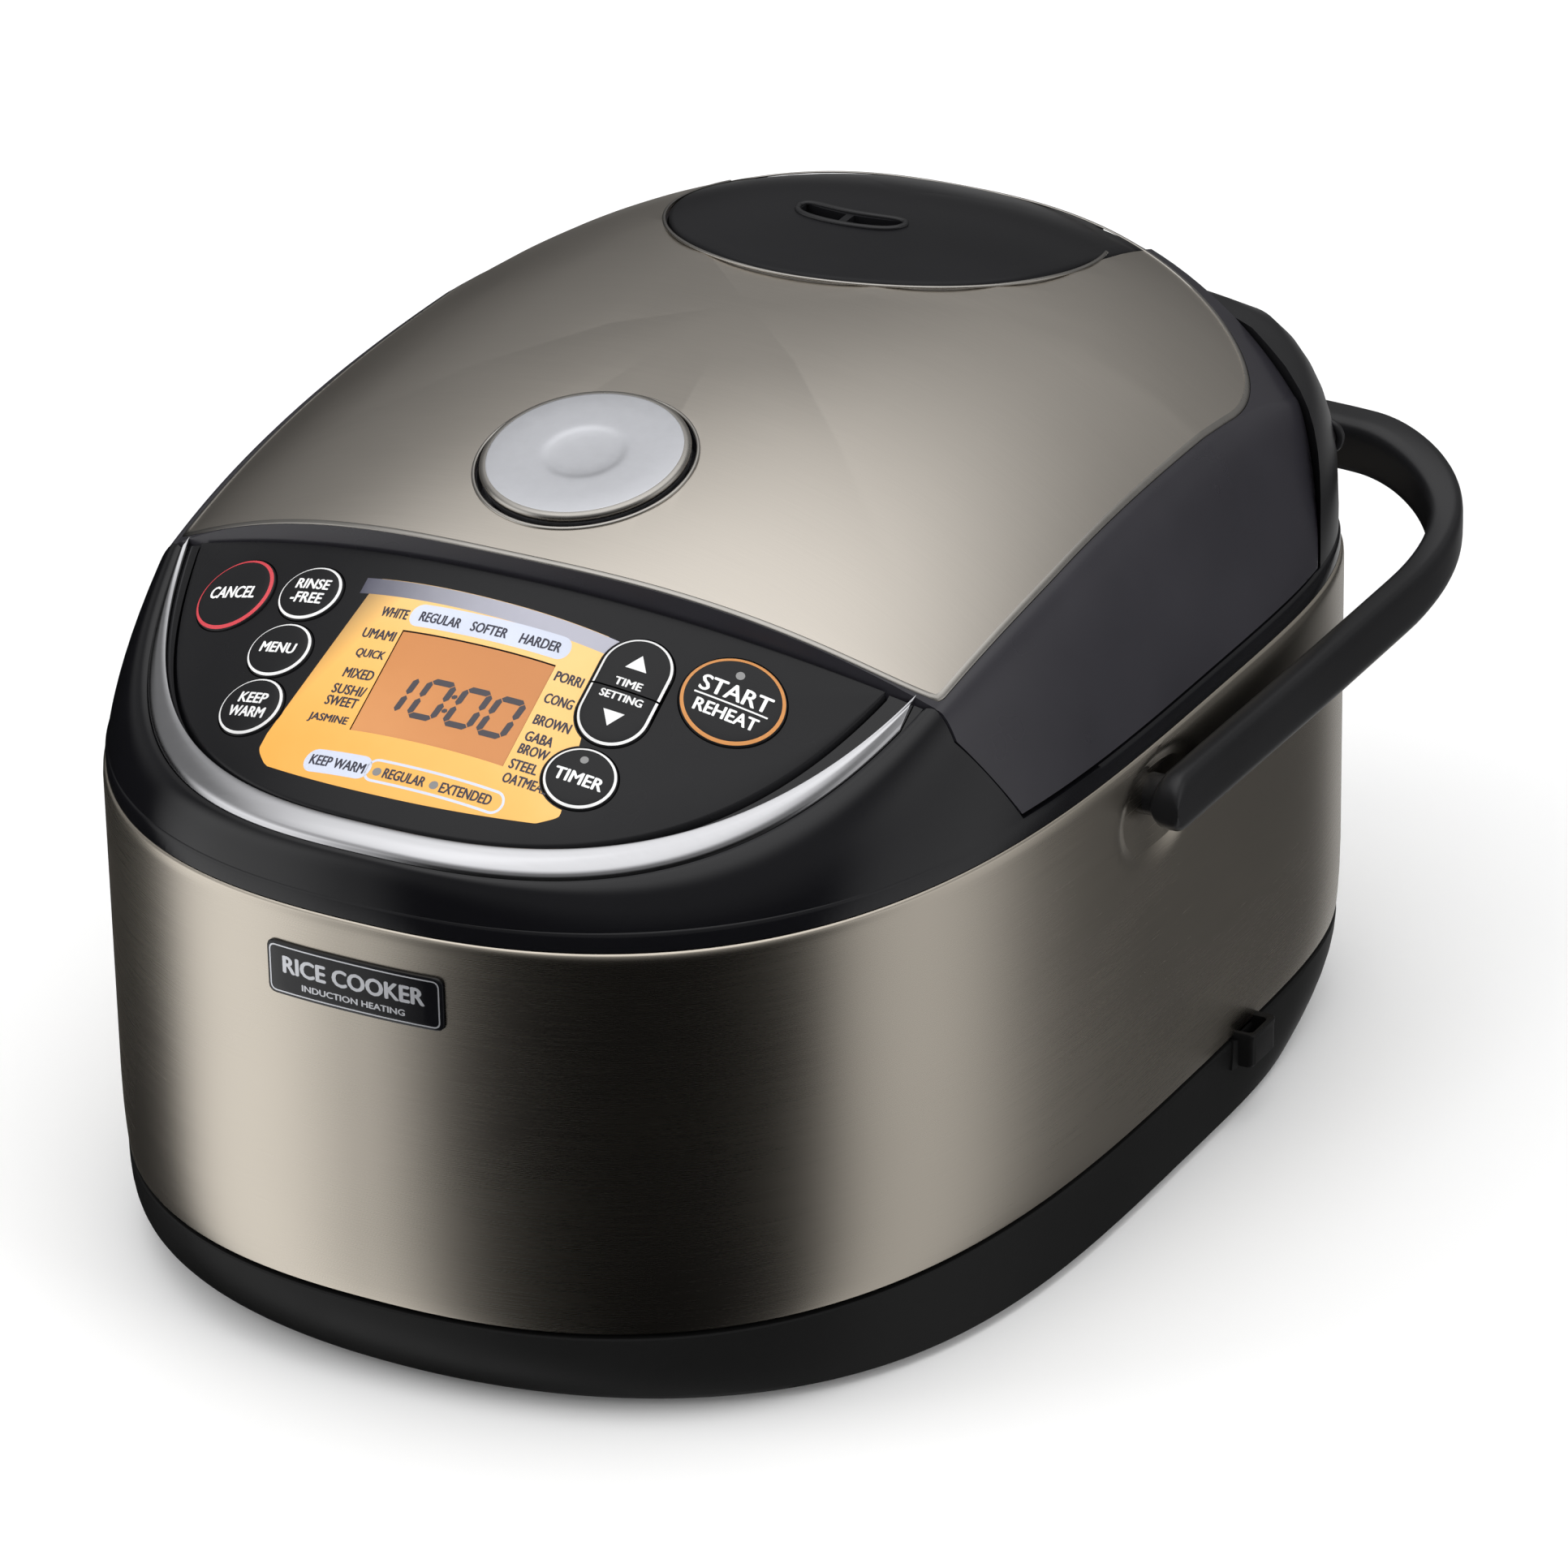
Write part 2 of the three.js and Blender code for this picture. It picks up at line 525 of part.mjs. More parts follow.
const buttonFrame = frameAt(plateZ, 0, BUTTON_Y);
const onButton = (g) => g.applyMatrix4(buttonFrame);
const ventSpace = toSolid(between(ventOutline(0.35), [1], () => 270,
  (x, y) => plateZ(x, y) - 7.5, 0, 108));
const lidBlock = toSolid(between(lidOutline(0, 52), lidSteps, lidZ, () => 130))
  .subtract(toSolid(belowPart));
const hollow = toSolid(between(lidOutline(3.4, 40), [0.5, 0.8, 0.92, 1],
  (x, y) => Math.max(lidZ(x, y) - 4.6, 152), (x, y) => (y < -70 ? partZ(y) + 2.6 : 120)))
  .subtract(toSolid(box(60, 60, 200, 140, -96, 200)))
  .subtract(toSolid(box(60, 60, 200, -140, -96, 200)));
const ventTray = toSolid(between(ventOutline(3), [1], () => 270,
  (x, y) => plateZ(x, y) - 10.5, 0, 108));
const plateSpace = toSolid(between(plateOutline(-0.25), plateSteps,
  () => 270, (x, y) => plateZ(x, y) - 1.15));
const buttonWell = toSolid(onButton(disc(BUTTON_R + 1.2, -12, 20, 40)));
const buttonFloor = toSolid(onButton(disc(BUTTON_R + 4, -12, -1.3, 40)));
const pinSpace = toSolid(bar(3.3, 180, 16, 0, HINGE_Y, HINGE_Z));
const pinBoss = toSolid(bar(6.4, 80, 16, 0, HINGE_Y - 1.6, HINGE_Z));
let lidShell = lidBlock.subtract(hollow.subtract(ventTray))
  .add(buttonFloor.intersect(lidBlock)).add(pinBoss.intersect(lidBlock));
lidShell = lidShell.subtract(toSolid(box(11, 60, 50, 51, 150, 213)))
  .subtract(toSolid(box(11, 60, 50, -51, 150, 213)))
  .subtract(toSolid(disc(FLANGE_R + 1, 140, 152.6, 44, 0, POT_Y))).subtract(plateSpace).subtract(ventSpace)
  .subtract(toSolid(onButton(disc(BUTTON_R + 1.2, -9, 20, 40))))
  .subtract(toSolid(onButton(disc(7, -20, 0, 20)))).subtract(pinSpace)
  .subtract(toSolid(disc(9.3, 120, 260, 24, 0, 104)))
  .subtract(toSolid(box(16, 14, 16, 0, -90, 172)));
// two ears under the button floor carry the latch pin
for (const x of [-10.6, 10.6]) lidShell = lidShell.add(toSolid(box(3, 6, 34, x, -84, 197)));
lidShell = lidShell.subtract(toSolid(bar(1.9, 26, 12, 0, -84, 184)))
  .subtract(toSolid(box(200, 60, 20, 0, 140, 142.3)));
add('lid_shell', mainBody(lidShell), gloss);
add('lid_plate', mainBody(toSolid(between(plateOutline(0), plateSteps,
  (x, y) => plateZ(x, y), (x, y) => plateZ(x, y) - 1))
  .subtract(buttonWell).subtract(toSolid(between(ventOutline(0.7), [1], () => 270,
    () => 150, 0, 108)))), steel);

const ventSlotLine = (side, grow) => Array.from({ length: 9 }, (_, i) => i / 8).map((t) => {
  const x = side * (1.2 - grow + (14.4 + 2 * grow) * t);
  return [x, 76.4 + 0.012 * x * x];
});
const ventSlot = (side) => {
  const l = ventSlotLine(side, 0);
  const pts = [...l.map(([x, y]) => [x, y - 2.6]), ...l.reverse().map(([x, y]) => [x, y + 2.6])];
  return toSolid(prism(side > 0 ? pts : pts.reverse(), 200, 270));
};
const ventHollow = toSolid(between(ventOutline(-2.4), [0.6, 1], (x, y) => ventZ(x, y) - 3.2,
  (x, y) => plateZ(x, y) - 12, 0, 108));
add('vent_cover', toSolid(between(ventOutline(0), [0.3, 0.55, 0.75, 0.9, 1], ventZ,
  (x, y) => plateZ(x, y) - 7.1, 0, 108)).subtract(ventHollow)
  .subtract(ventSlot(1)).subtract(ventSlot(-1))
  .subtract(toSolid(box(11, 20, 60, 51, 153.5, 225)))
  .subtract(toSolid(box(11, 20, 60, -51, 153.5, 225))), gloss);
add('steam_duct', turn([[5, 157], [8.8, 157], [8.8, 227.4], [5, 227.4]], 24, 0, 104), inner);

// open button: rolled rim, shallow dished top
add('open_button', onButton(turn([[0, -5.6], [26, -5.6], [27.6, -4.6], [BUTTON_R, -2], [BUTTON_R, 0.5],
  [BUTTON_R - 2, 1.6], [11, 1.8], [0, 0.8]], 32)), satin);
add('latch_hook', toSolid(box(13, 5, 22, 0, -84, 176.6))
  .add(toSolid(box(13, 5.6, 4, 0, -87.6, 168))).subtract(toSolid(bar(1.9, 20, 12, 0, -84, 184))),
inner);
add('latch_catch', box(18, 6.6, 5.6, 0, -95.5, 168), aluminium);
add('latch_pin', bar(1.6, 24, 12, 0, -84, 184), aluminium);

add('lid_liner', toSolid(disc(108.5, 156.4, 158, 36, 0, POT_Y))
  .subtract(toSolid(disc(8.9, 150, 170, 20, 0, 104))), aluminium);
add('inner_lid', toSolid(turn([[0, 154], [96, 154], [97.5, 152.2], [104.6, 152.2], [104.6, 155.6],
  [0, 155.6]], 36, 0, POT_Y)).subtract(toSolid(disc(6.2, 150, 170, 20, 0, 104)))
  .subtract(toSolid(disc(8.2, 150, 170, 20, 30, 10))), aluminium);
add('lid_gasket', turn([[97.8, 149.2], [101.4, 149.2], [101.4, 151.9], [97.8, 151.9]], 32, 0, POT_Y),
  silicone);
add('pressure_valve', turn([[0, 151], [7.6, 151], [7.6, 156.1], [0, 156.1]], 20, 30, 10), satin);

// ---------------------------------------------------------------- hinge
const coverZ = (x, y) => {
  const rho = ((Math.abs(x) / (HALF_W - 1.5)) ** 4.7 + (Math.max(0, y - SPLIT_Y)
    / (REAR - 1.5)) ** 4.0) ** (1 / 4.35);
  const a = Math.abs(x);
  const high = 201.5 + 7 * smooth((a - 46) / 22) - 11 * smooth((a - 94) / 42);
  return 156 + (high - 156) * Math.max(0, 1 - Math.min(1, rho) ** 25) ** 0.45;
};
const wallRear = (inset) => wall(inset, 64).filter(([, y]) => y > 60);
const lidClear = toSolid(prism(lidOutline(-0.8, 52), 100, 300));
let cover = toSolid(between(wallRear(1.5), [0.3, 0.6, 0.8, 0.9, 0.94, 0.965, 0.985, 1], coverZ,
  () => SEAM_Z - 0.05, 0, 110)).subtract(lidClear);
cover = cover.subtract(toSolid(profileBar([[100, 120], [161, 120], [161, 196], [100, 196]], -40, 40))
  .intersect(toSolid(prism(wall(6, 40), 120, 300))).subtract(lidClear));
// two ears reach forward from the cover and carry the pin
const ear = (x) => toSolid(profileBar([[146, 190], [166, 190], [166, 200], [154, 213.2],
  [147, 213.2], [143.5, 210], [143.5, 200]], x - 4, x + 4));
const clipAt = new THREE.Matrix4().makeRotationX(Math.PI / 2).setPosition(123.8, 136, 175);
const clip = toSolid(new THREE.TorusGeometry(4.2, 1.3, 8, 20).applyMatrix4(clipAt))
  .subtract(toSolid(box(3.4, 8, 9, 123.8, 136, 170.4)));
cover = cover.add(ear(51)).add(ear(-51)).add(clip)
  .subtract(toSolid(bar(2.8, 180, 16, 0, HINGE_Y, HINGE_Z)));
add('hinge_cover', mainBody(cover), gloss);
add('hinge_pin', bar(2.6, 112, 16, 0, HINGE_Y, HINGE_Z), aluminium);


// ---------------------------------------------------------------- handle
const BEND_Y = 100;
const BEND_P = 7;
const gripAt = (t) => {
  // t runs from the pivot end (0) along the arm, round the corner to the middle of the bar (1)
  const straight = 0.4;
  if (t <= straight) {
    return { x: ARM_X, y: PIVOT_Y + (BEND_Y - PIVOT_Y) * (t / straight), dx: 0, dy: 1 };
  }
  const a = ((t - straight) / (1 - straight)) * (Math.PI / 2);
  const u = Math.max(0, Math.cos(a)) ** (2 / BEND_P);
  const v = Math.max(0, Math.sin(a)) ** (2 / BEND_P);
  const gx = u ** (BEND_P - 1) / ARM_X;
  const gy = v ** (BEND_P - 1) / (BAR_Y - BEND_Y);
  const l = Math.hypot(gx, gy);
  return { x: ARM_X * u, y: BEND_Y + (BAR_Y - BEND_Y) * v, dx: -gy / l, dy: gx / l };
};
const gripSection = (t, side, squeeze = 1, shift = 0) => {
  const { x, y, dx, dy } = gripAt(t);
  const thick = (ARM_T + (BAR_T - ARM_T) * smooth((t - 0.4) / 0.45)) / 2;
  const h = (GRIP_H / 2) * squeeze;
  const z = GRIP_Z + (PIVOT_Z - GRIP_Z) * (1 - Math.min(1, t / 0.3))
    + GRIP_RISE * smooth((0.5 * (y - 135) + 0.8 * (ARM_X - x)) / 60);
  const c = Math.min(2.6, thick * 0.55);
  const pts = [[-thick, -h + c], [-thick + c, -h], [thick - c, -h], [thick, -h + c],
    [thick, h - c * 1.3], [thick - c, h], [-thick + c, h], [-thick, h - c]];
  // across = outward normal of the plan path
  return pts.map(([o, v]) => [side * (x + dy * o), y + shift - dx * o, z + v]).reverse();
};
const gripTs = [0, 0.2, 0.4, 0.43, 0.48, 0.54, 0.6, 0.66, 0.72, 0.78, 0.84, 0.9, 0.96, 0.99];
const endRings = [[0.45, -7.9], [0.78, -5.6], [0.94, -2.8]];
const halfGrip = [...endRings.map(([q, d]) => gripSection(0, 1, q, d)),
  ...gripTs.map((t) => gripSection(t, 1))];
const mirror = (ring) => ring.map(([x, y, z]) => [-x, y, z]);
const middle = gripSection(1, 1).map(([, y, z]) => [0, y, z]);
const grip = toSolid(loft([...halfGrip, middle, ...[...halfGrip].reverse().map(mirror)]));
const pegs = toSolid(bar(6, 20, 24, 134.5, PIVOT_Y, PIVOT_Z))
  .add(toSolid(bar(6, 20, 24, -134.5, PIVOT_Y, PIVOT_Z)));
add('handle', grip.add(pegs), gloss);
[['right', 1], ['left', -1]].forEach(([side, sgn]) => {
  add(`pivot_bushing_${side}`, new THREE.LatheGeometry([[6.3, 0], [11.6, 0], [11.6, 2], [8.9, 2],
    [8.9, 8], [6.3, 8], [6.3, 0]].map(([r, h]) => new THREE.Vector2(r, h)), 18)
    .rotateZ((-sgn * Math.PI) / 2).translate(sgn * 131.6, PIVOT_Y, PIVOT_Z), matte);
});

// ---------------------------------------------------------------- cooking parts
add('inner_pot', turn([[0, POT_BASE], [80, POT_BASE], [98, 46], [POT_R, 64], [POT_R, 149.9],
  [FLANGE_R, 149.9], [FLANGE_R, 151.6], [103.7, 151.6], [103.7, 64.5], [96.8, 47.6], [79.5, 40.5],
  [0, 40.5]], 34, 0, POT_Y), nonstick);
add('pot_well', turn([[12.5, 33.4], [85, 33.4], [103.4, 42], [110, 60], [110, 143], [107.8, 143],
  [107.8, 60.4], [101.8, 43.8], [84.6, 35.4], [12.5, 35.4]], 32, 0, POT_Y), inner);
add('bottom_coil', ringOf(34, 80, 29.8, 33.1, 36, 0, POT_Y), copper);
add('side_coil', ringOf(111.6, 115.2, 66, 84, 32, 0, POT_Y), copper);
add('coil_carrier', ringOf(14, 92, 26.4, 29.5, 36, 0, POT_Y), inner);
add('sensor_guide', ringOf(11, 13.6, 23, 33, 20, 0, POT_Y), inner);
add('thermal_sensor', turn([[0, 24.4], [6, 24.4], [6, 28], [10.6, 28], [10.6, 37.6], [9.4, 38.3],
  [0, 38.3]], 20, 0, POT_Y), aluminium);

// ---------------------------------------------------------------- electrics
add('control_board', box(126, 56, 1.6, 0, 0, 0).rotateX(Math.atan(PANEL_RISE))
  .translate(0, -145, 163), board);
add('power_board', box(120, 1.6, 84, 0, -158, 82), board);
const fins = [[-26, 0], [26, 0], [26, 20]];
for (let i = 6; i > 0; i--) {
  const x = -26 + 8.5 * i;
  fins.push([x - 1.4, 20], [x - 1.4, 5], [x - 6.6, 5], [x - 6.6, 20]);
}
fins.push([-26, 20]);
add('heat_sink', prism(fins.filter((p, i) => i === 0 || p[0] !== fins[i - 1][0]
  || p[1] !== fins[i - 1][1]), 0, 60).translate(-20, -157, 50), aluminium);
const fanY = -112;
add('fan_frame', toSolid(box(60, 60, 15, 0, fanY, 14.4))
  .subtract(toSolid(disc(27.5, 0, 40, 32, 0, fanY)))
  .add(toSolid(disc(9, 6.9, 8.4, 20, 0, fanY))).add(toSolid(box(60, 4, 1.5, 0, fanY, 7.65))), matte);
let rotor = toSolid(disc(11, 9, 20.4, 20, 0, fanY));
for (let i = 0; i < 7; i++) {
  const blade = new THREE.BoxGeometry(17, 1.4, 13).rotateX(0.8).translate(17.5, 0, 0)
    .rotateZ((2 * Math.PI * i) / 7).translate(0, fanY, 14.8);
  rotor = rotor.add(toSolid(blade));
}
add('fan_impeller', rotor, matte);
const reelY = 92;
add('reel_housing', toSolid(turn([[0, 5.2], [49, 5.2], [49, 22], [46.6, 22], [46.6, 7.2], [0, 7.2]],
  36, 0, reelY)).add(toSolid(disc(5, 7, 21, 16, 0, reelY)))
  .subtract(toSolid(box(18, 20, 10, -30, reelY + 42, 15))), inner);
add('reel_drum', turn([[5.4, 7.8], [45, 7.8], [45, 9.6], [20, 9.6], [20, 18.6], [45, 18.6],
  [45, 20.4], [5.4, 20.4]], 24, 0, reelY), matte);
add('cord_outlet', new THREE.LatheGeometry([[4.2, 0], [8.3, 0], [8.3, 8], [11.5, 8], [10.6, 11],
  [4.2, 11], [4.2, 0]].map(([r, h]) => new THREE.Vector2(r, h)), 20)
  .translate(-70, 160.4, 62), rubber);
export default group;
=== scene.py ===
import math
import bpy
import bmesh
import numpy as np
from mathutils import Matrix, Vector


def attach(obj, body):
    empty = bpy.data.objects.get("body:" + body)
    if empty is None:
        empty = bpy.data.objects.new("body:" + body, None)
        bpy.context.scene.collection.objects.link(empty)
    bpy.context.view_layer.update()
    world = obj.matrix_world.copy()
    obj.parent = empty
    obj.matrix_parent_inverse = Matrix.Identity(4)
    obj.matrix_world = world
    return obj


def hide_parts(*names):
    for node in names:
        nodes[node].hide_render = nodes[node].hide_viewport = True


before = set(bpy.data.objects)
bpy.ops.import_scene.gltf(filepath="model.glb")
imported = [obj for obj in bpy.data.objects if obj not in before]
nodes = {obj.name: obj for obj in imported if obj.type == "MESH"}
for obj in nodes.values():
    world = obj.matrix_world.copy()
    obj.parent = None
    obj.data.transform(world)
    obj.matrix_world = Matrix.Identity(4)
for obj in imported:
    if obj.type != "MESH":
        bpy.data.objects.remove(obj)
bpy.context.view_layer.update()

# ---------- shape of the cooker, in millimetres
HALF_W, SPLIT_Y, FRONT, REAR = 142.0, 26.5, 228.0, 142.5
# how square the outline is, across and along, in its front and rear halves
FRONT_POW, REAR_POW = (2.4, 3.2), (4.7, 4.0)
SEAM_Z, PANEL_SLOPE = 149.8, 0.593
POT_Y, POT_R = 36.0, 105.5
BUTTON_Y, BUTTON_R, VENT_Y, VENT_R = -73.0, 29.0, 101.0, 63.0
HINGE_Y, HINGE_Z = 150.0, 208.0
PIVOT_Y, PIVOT_Z = -10.0, 128.0
PANEL_END, TRIM_END, TRIM_HALF, TRIM_REACH = 107.0, 114.0, 125, 222.6
LCD_X, LCD_HALF, LCD_LOW, LCD_HIGH = 2.8, 23.4, -165, -136.6
LEAN = math.cos(math.atan(PANEL_SLOPE))


def smooth(u):
    v = np.clip(u, 0, 1)
    return v * v * (3 - 2 * v)


def wall_params(count):
    """Outline parameters that space points evenly along the wall."""
    t = np.linspace(-math.pi / 2, 1.5 * math.pi, 6001)
    x, y = wall_xy(t, 0)
    run = np.concatenate([[0], np.cumsum(np.hypot(np.diff(x), np.diff(y)))])
    return np.interp(np.linspace(0, run[-1], count, endpoint=False), run, t)


def wall_xy(t, inset, powers=(FRONT_POW, REAR_POW), ends=None):
    c, s = np.cos(t), np.sin(t)
    (a, b), (p, q) = powers
    front, rear = ends or (FRONT - inset, REAR - inset)
    across = np.where(s < 0, a, p)
    along = np.where(s < 0, b, q)
    x = (HALF_W - inset) * np.sign(c) * np.abs(c) ** (2 / across)
    y = SPLIT_Y + np.where(s < 0, front, rear) * np.sign(s) * np.abs(s) ** (2 / along)
    return x, y


def wall_x(y, inset=0.0):
    t = np.minimum(1, np.abs(y - SPLIT_Y) / (np.where(y < SPLIT_Y, FRONT, REAR) - inset))
    across, along = (np.where(y < SPLIT_Y, f, r) for f, r in zip(FRONT_POW, REAR_POW))
    return (HALF_W - inset) * (1 - t ** along) ** (1 / across)


def panel_z(x, y):
    return 163.3 + (y + 192.2) * PANEL_SLOPE - 35 * (np.abs(x) / 120) ** 2.2


def crest_z(y):
    return np.where(y < 70, 239.5 - 25 * (np.maximum(0, 70 - y) / 184) ** 2.6,
                    239.5 - 8.2 * ((y - 70) / 60) ** 2)


def plate_z(x, y):
    return crest_z(y) - (34.8 + 0.07 * np.maximum(0, y - 60)) * (np.abs(x) / 120) ** 2.5


def plate_front(x):
    return -115.2 + 19.2 * (np.abs(x) / 119.5) ** 2.2


def plate_side(y):
    return np.where(y < 45, 122 - 2.4 * (np.maximum(0, -30 - y) / 66) ** 1.5, 122.0)


def part_z(y):
    return SEAM_Z + 1.5 * np.maximum(0, -78 - y)


def trim_y(x, shrink=0.0):
    return SPLIT_Y - (TRIM_REACH - shrink) * (
        1 - np.minimum(1, np.abs(x) / (TRIM_HALF - shrink)) ** FRONT_POW[0]) ** (1 / FRONT_POW[1])


def lid_rear(x):
    return 98 + 57 * (1 - np.minimum(1, np.abs(x) / 140.5) ** 1.6) ** (1 / 1.6)


def vent_z(x, y):
    dome = np.maximum(0, 1 - ((x / 60) ** 2 + ((y - 104) / 60) ** 2)) ** 1.2
    return plate_z(x, y) + 0.6 + 2.4 * dome - 1.5 * smooth((y - 92) / 55)


def cover_z(x, y):
    rho = ((np.abs(x) / (HALF_W - 1.5)) ** 4.7
           + (np.maximum(0, y - SPLIT_Y) / (REAR - 1.5)) ** 4.0) ** (1 / 4.35)
    a = np.abs(x)
    high = 201.5 + 7 * smooth((a - 46) / 22) - 11 * smooth((a - 94) / 42)
    return 156 + (high - 156) * np.maximum(0, 1 - np.minimum(1, rho) ** 25) ** 0.45


# ---------- mesh helpers
def link(name, data):
    ob = bpy.data.objects.new(name, data)
    bpy.context.scene.collection.objects.link(ob)
    return ob


def mesh_piece(name, verts, faces, angle=32):
    me = bpy.data.meshes.new(name)
    me.from_pydata((np.asarray(verts, float) * 0.001).tolist(), [], [list(map(int, f)) for f in faces])
    bm = bmesh.new()
    bm.from_mesh(me)
    bmesh.ops.remove_doubles(bm, verts=bm.verts, dist=1e-7)
    bmesh.ops.recalc_face_normals(bm, faces=bm.faces)
    bm.to_mesh(me)
    bm.free()
    return shade(link(name, me), angle)


def shade(ob, angle=32):
    me = ob.data
    me.shade_smooth()
    me.set_sharp_from_angle(angle=math.radians(angle))
    return ob


def loft(name, rings, wrapped=False, angle=32):
    """Skin through closed rings of equal length; wrapped joins the last to the first."""
    rings = [np.asarray(r, float) for r in rings]
    n, m = len(rings[0]), len(rings)
    verts = list(np.concatenate(rings))
    faces = []
    for i in range(m if wrapped else m - 1):
        a, b = i * n, ((i + 1) % m) * n
        faces += [(a + j, a + (j + 1) % n, b + (j + 1) % n, b + j) for j in range(n)]
    if not wrapped:
        for ring, base in ((rings[0], 0), (rings[-1], (m - 1) * n)):
            centre = len(verts)
            verts.append(ring.mean(0))
            faces += [(centre, base + j, base + (j + 1) % n) for j in range(n)]
    return mesh_piece(name, verts, faces, angle)


def lay(xy, z):
    xy = np.asarray(xy, float)
    return np.column_stack([xy[:, 0], xy[:, 1], np.broadcast_to(z, len(xy))])


def level_ring(x, y, z):
    return np.column_stack([x, y, np.full(len(x), float(z))])


def shrink(outline, d, centre):
    """Outline moved a distance d towards the centre."""
    v = np.asarray(outline, float) - centre
    length = np.hypot(v[:, 0], v[:, 1])[:, None]
    return centre + v * (1 - d / length)


def between(name, outline, steps, top, low, centre=(0, 20), edge=(), angle=32):
    """Body between two height functions; edge = (inset, drop) pairs that round its upper rim."""
    centre = np.array(centre, float)
    outline = np.asarray(outline, float)
    rings = []
    for k in steps:
        p = centre + (outline - centre) * k
        rings.append(lay(p, low(p[:, 0], p[:, 1])))
    rings.append(lay(outline, low(outline[:, 0], outline[:, 1])))
    for inset, drop in edge or ((0, 0),):
        p = shrink(outline, inset, centre)
        rings.append(lay(p, top(p[:, 0], p[:, 1]) - drop))
    last = (edge[-1][0] if edge else 0)
    inner = shrink(outline, last, centre)
    for k in reversed(steps):
        p = centre + (inner - centre) * k
        rings.append(lay(p, top(p[:, 0], p[:, 1])))
    return loft(name, rings, angle=angle)


def across_x(name, xs, section, angle=32):
    return loft(name, [[(x, y, z) for y, z in section(x)] for x in xs], angle=angle)


def turn(name, profile, count=96, cx=0.0, cy=0.0, angle=32):
    """Turned body from (radius, z) points; it closes on itself if the profile starts off the axis."""
    t = np.linspace(0, 2 * math.pi, count, endpoint=False)
    rings = [level_ring(cx + r * np.cos(t), cy + r * np.sin(t), z) for r, z in profile]
    return loft(name, rings, wrapped=profile[0][0] > 1e-6, angle=angle)


def prism(name, outline, z0, z1, angle=32):
    return loft(name, [lay(outline, z0), lay(outline, z1)], angle=angle)


def rod(name, r, x0, x1, y, z, count=48):
    t = np.linspace(0, 2 * math.pi, count, endpoint=False)
    ring = [np.column_stack([np.full(count, x), y + r * np.cos(t), z + r * np.sin(t)])
            for x in (x0, x1)]
    return loft(name, ring)


def block(name, w, d, h, x, y, z):
    c = np.array([(-1, -1), (1, -1), (1, 1), (-1, 1)]) * (w / 2, d / 2) + (x, y)
    return prism(name, c, z - h / 2, z + h / 2)


def cut(ob, *tools, mode="DIFFERENCE"):
    for tool in tools:
        mod = ob.modifiers.new("cut", "BOOLEAN")
        mod.operation, mod.solver, mod.object = mode, "MANIFOLD", tool
    graph = bpy.context.evaluated_depsgraph_get()
    me = bpy.data.meshes.new_from_object(ob.evaluated_get(graph))
    ob.modifiers.clear()
    ob.data = me
    for tool in tools:
        bpy.data.objects.remove(tool)
    bm = bmesh.new()
    bm.from_mesh(me)
    bmesh.ops.dissolve_degenerate(bm, dist=2e-6, edges=bm.edges)
    bm.to_mesh(me)
    bm.free()
    return shade(ob)


def frame_at(height, x, y, lift=0.0):
    e = 0.05
    n = Vector(((height(x - e, y) - height(x + e, y)) / (2 * e),
                (height(x, y - e) - height(x, y + e)) / (2 * e), 1)).normalized()
    side = (Vector((1, 0, 0)) - n * n.x).normalized()
    up = n.cross(side)
    at = Vector((x, y, float(height(x, y)))) + n * lift
    return Matrix(((side.x, up.x, n.x, at.x * 0.001), (side.y, up.y, n.y, at.y * 0.001),
                   (side.z, up.z, n.z, at.z * 0.001), (0, 0, 0, 1)))


def place(ob, matrix):
    ob.data.transform(matrix)
    return ob


def finish(ob, material, body, *stands_for, slot=None):
    ob.data.materials.clear()
    ob.data.materials.append(material)
    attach(ob, body)
    if stands_for:
        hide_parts(*stands_for)
    return ob


def rim(name, path, outward, height, profile, angle=50):
    """Sweep of [offset outward, height above the surface] points along a closed plan path."""
    rings = []
    for (px, py), (ox, oy) in zip(path, outward):
        rings.append([(px + ox * d, py + oy * d, float(height(px + ox * d, py + oy * d)) + h)
                      for d, h in profile])
    return loft(name, rings, wrapped=True, angle=angle)


def normals_of(path):
    p = np.asarray(path, float)
    t = np.roll(p, -1, 0) - np.roll(p, 1, 0)
    n = np.column_stack([t[:, 1], -t[:, 0]])
    return n / np.hypot(n[:, 0], n[:, 1])[:, None]


def even(path, count):
    """Closed path resampled at equal steps."""
    p = np.asarray(path, float)
    p = np.vstack([p, p[:1]])
    run = np.concatenate([[0], np.cumsum(np.hypot(*np.diff(p, axis=0).T))])
    s = np.linspace(0, run[-1], count, endpoint=False)
    return np.column_stack([np.interp(s, run, p[:, i]) for i in (0, 1)])


def oval(a, b, count=64):
    t = np.linspace(0, 2 * math.pi, count, endpoint=False)
    return np.column_stack([a * np.cos(t), b * np.sin(t)])


# ---------- materials
def nodes_for(name, metallic, roughness, colour):
    mat = bpy.data.materials.new(name)
    mat.use_nodes = True
    tree = mat.node_tree
    shader = tree.nodes["Principled BSDF"]
    shader.inputs["Metallic"].default_value = metallic
    shader.inputs["Roughness"].default_value = roughness
    shader.inputs["Base Color"].default_value = (*colour, 1)
    return mat, tree, shader


def node(tree, kind, given=(), **settings):
    """New shader node; given pairs each input with a value or with another node's output."""
    made = tree.nodes.new("ShaderNode" + kind)
    for key, value in settings.items():
        setattr(made, key, value)
    for key, value in dict(given).items():
        if isinstance(value, bpy.types.NodeSocket):
            tree.links.new(value, made.inputs[key])
        else:
            made.inputs[key].default_value = value
    return made


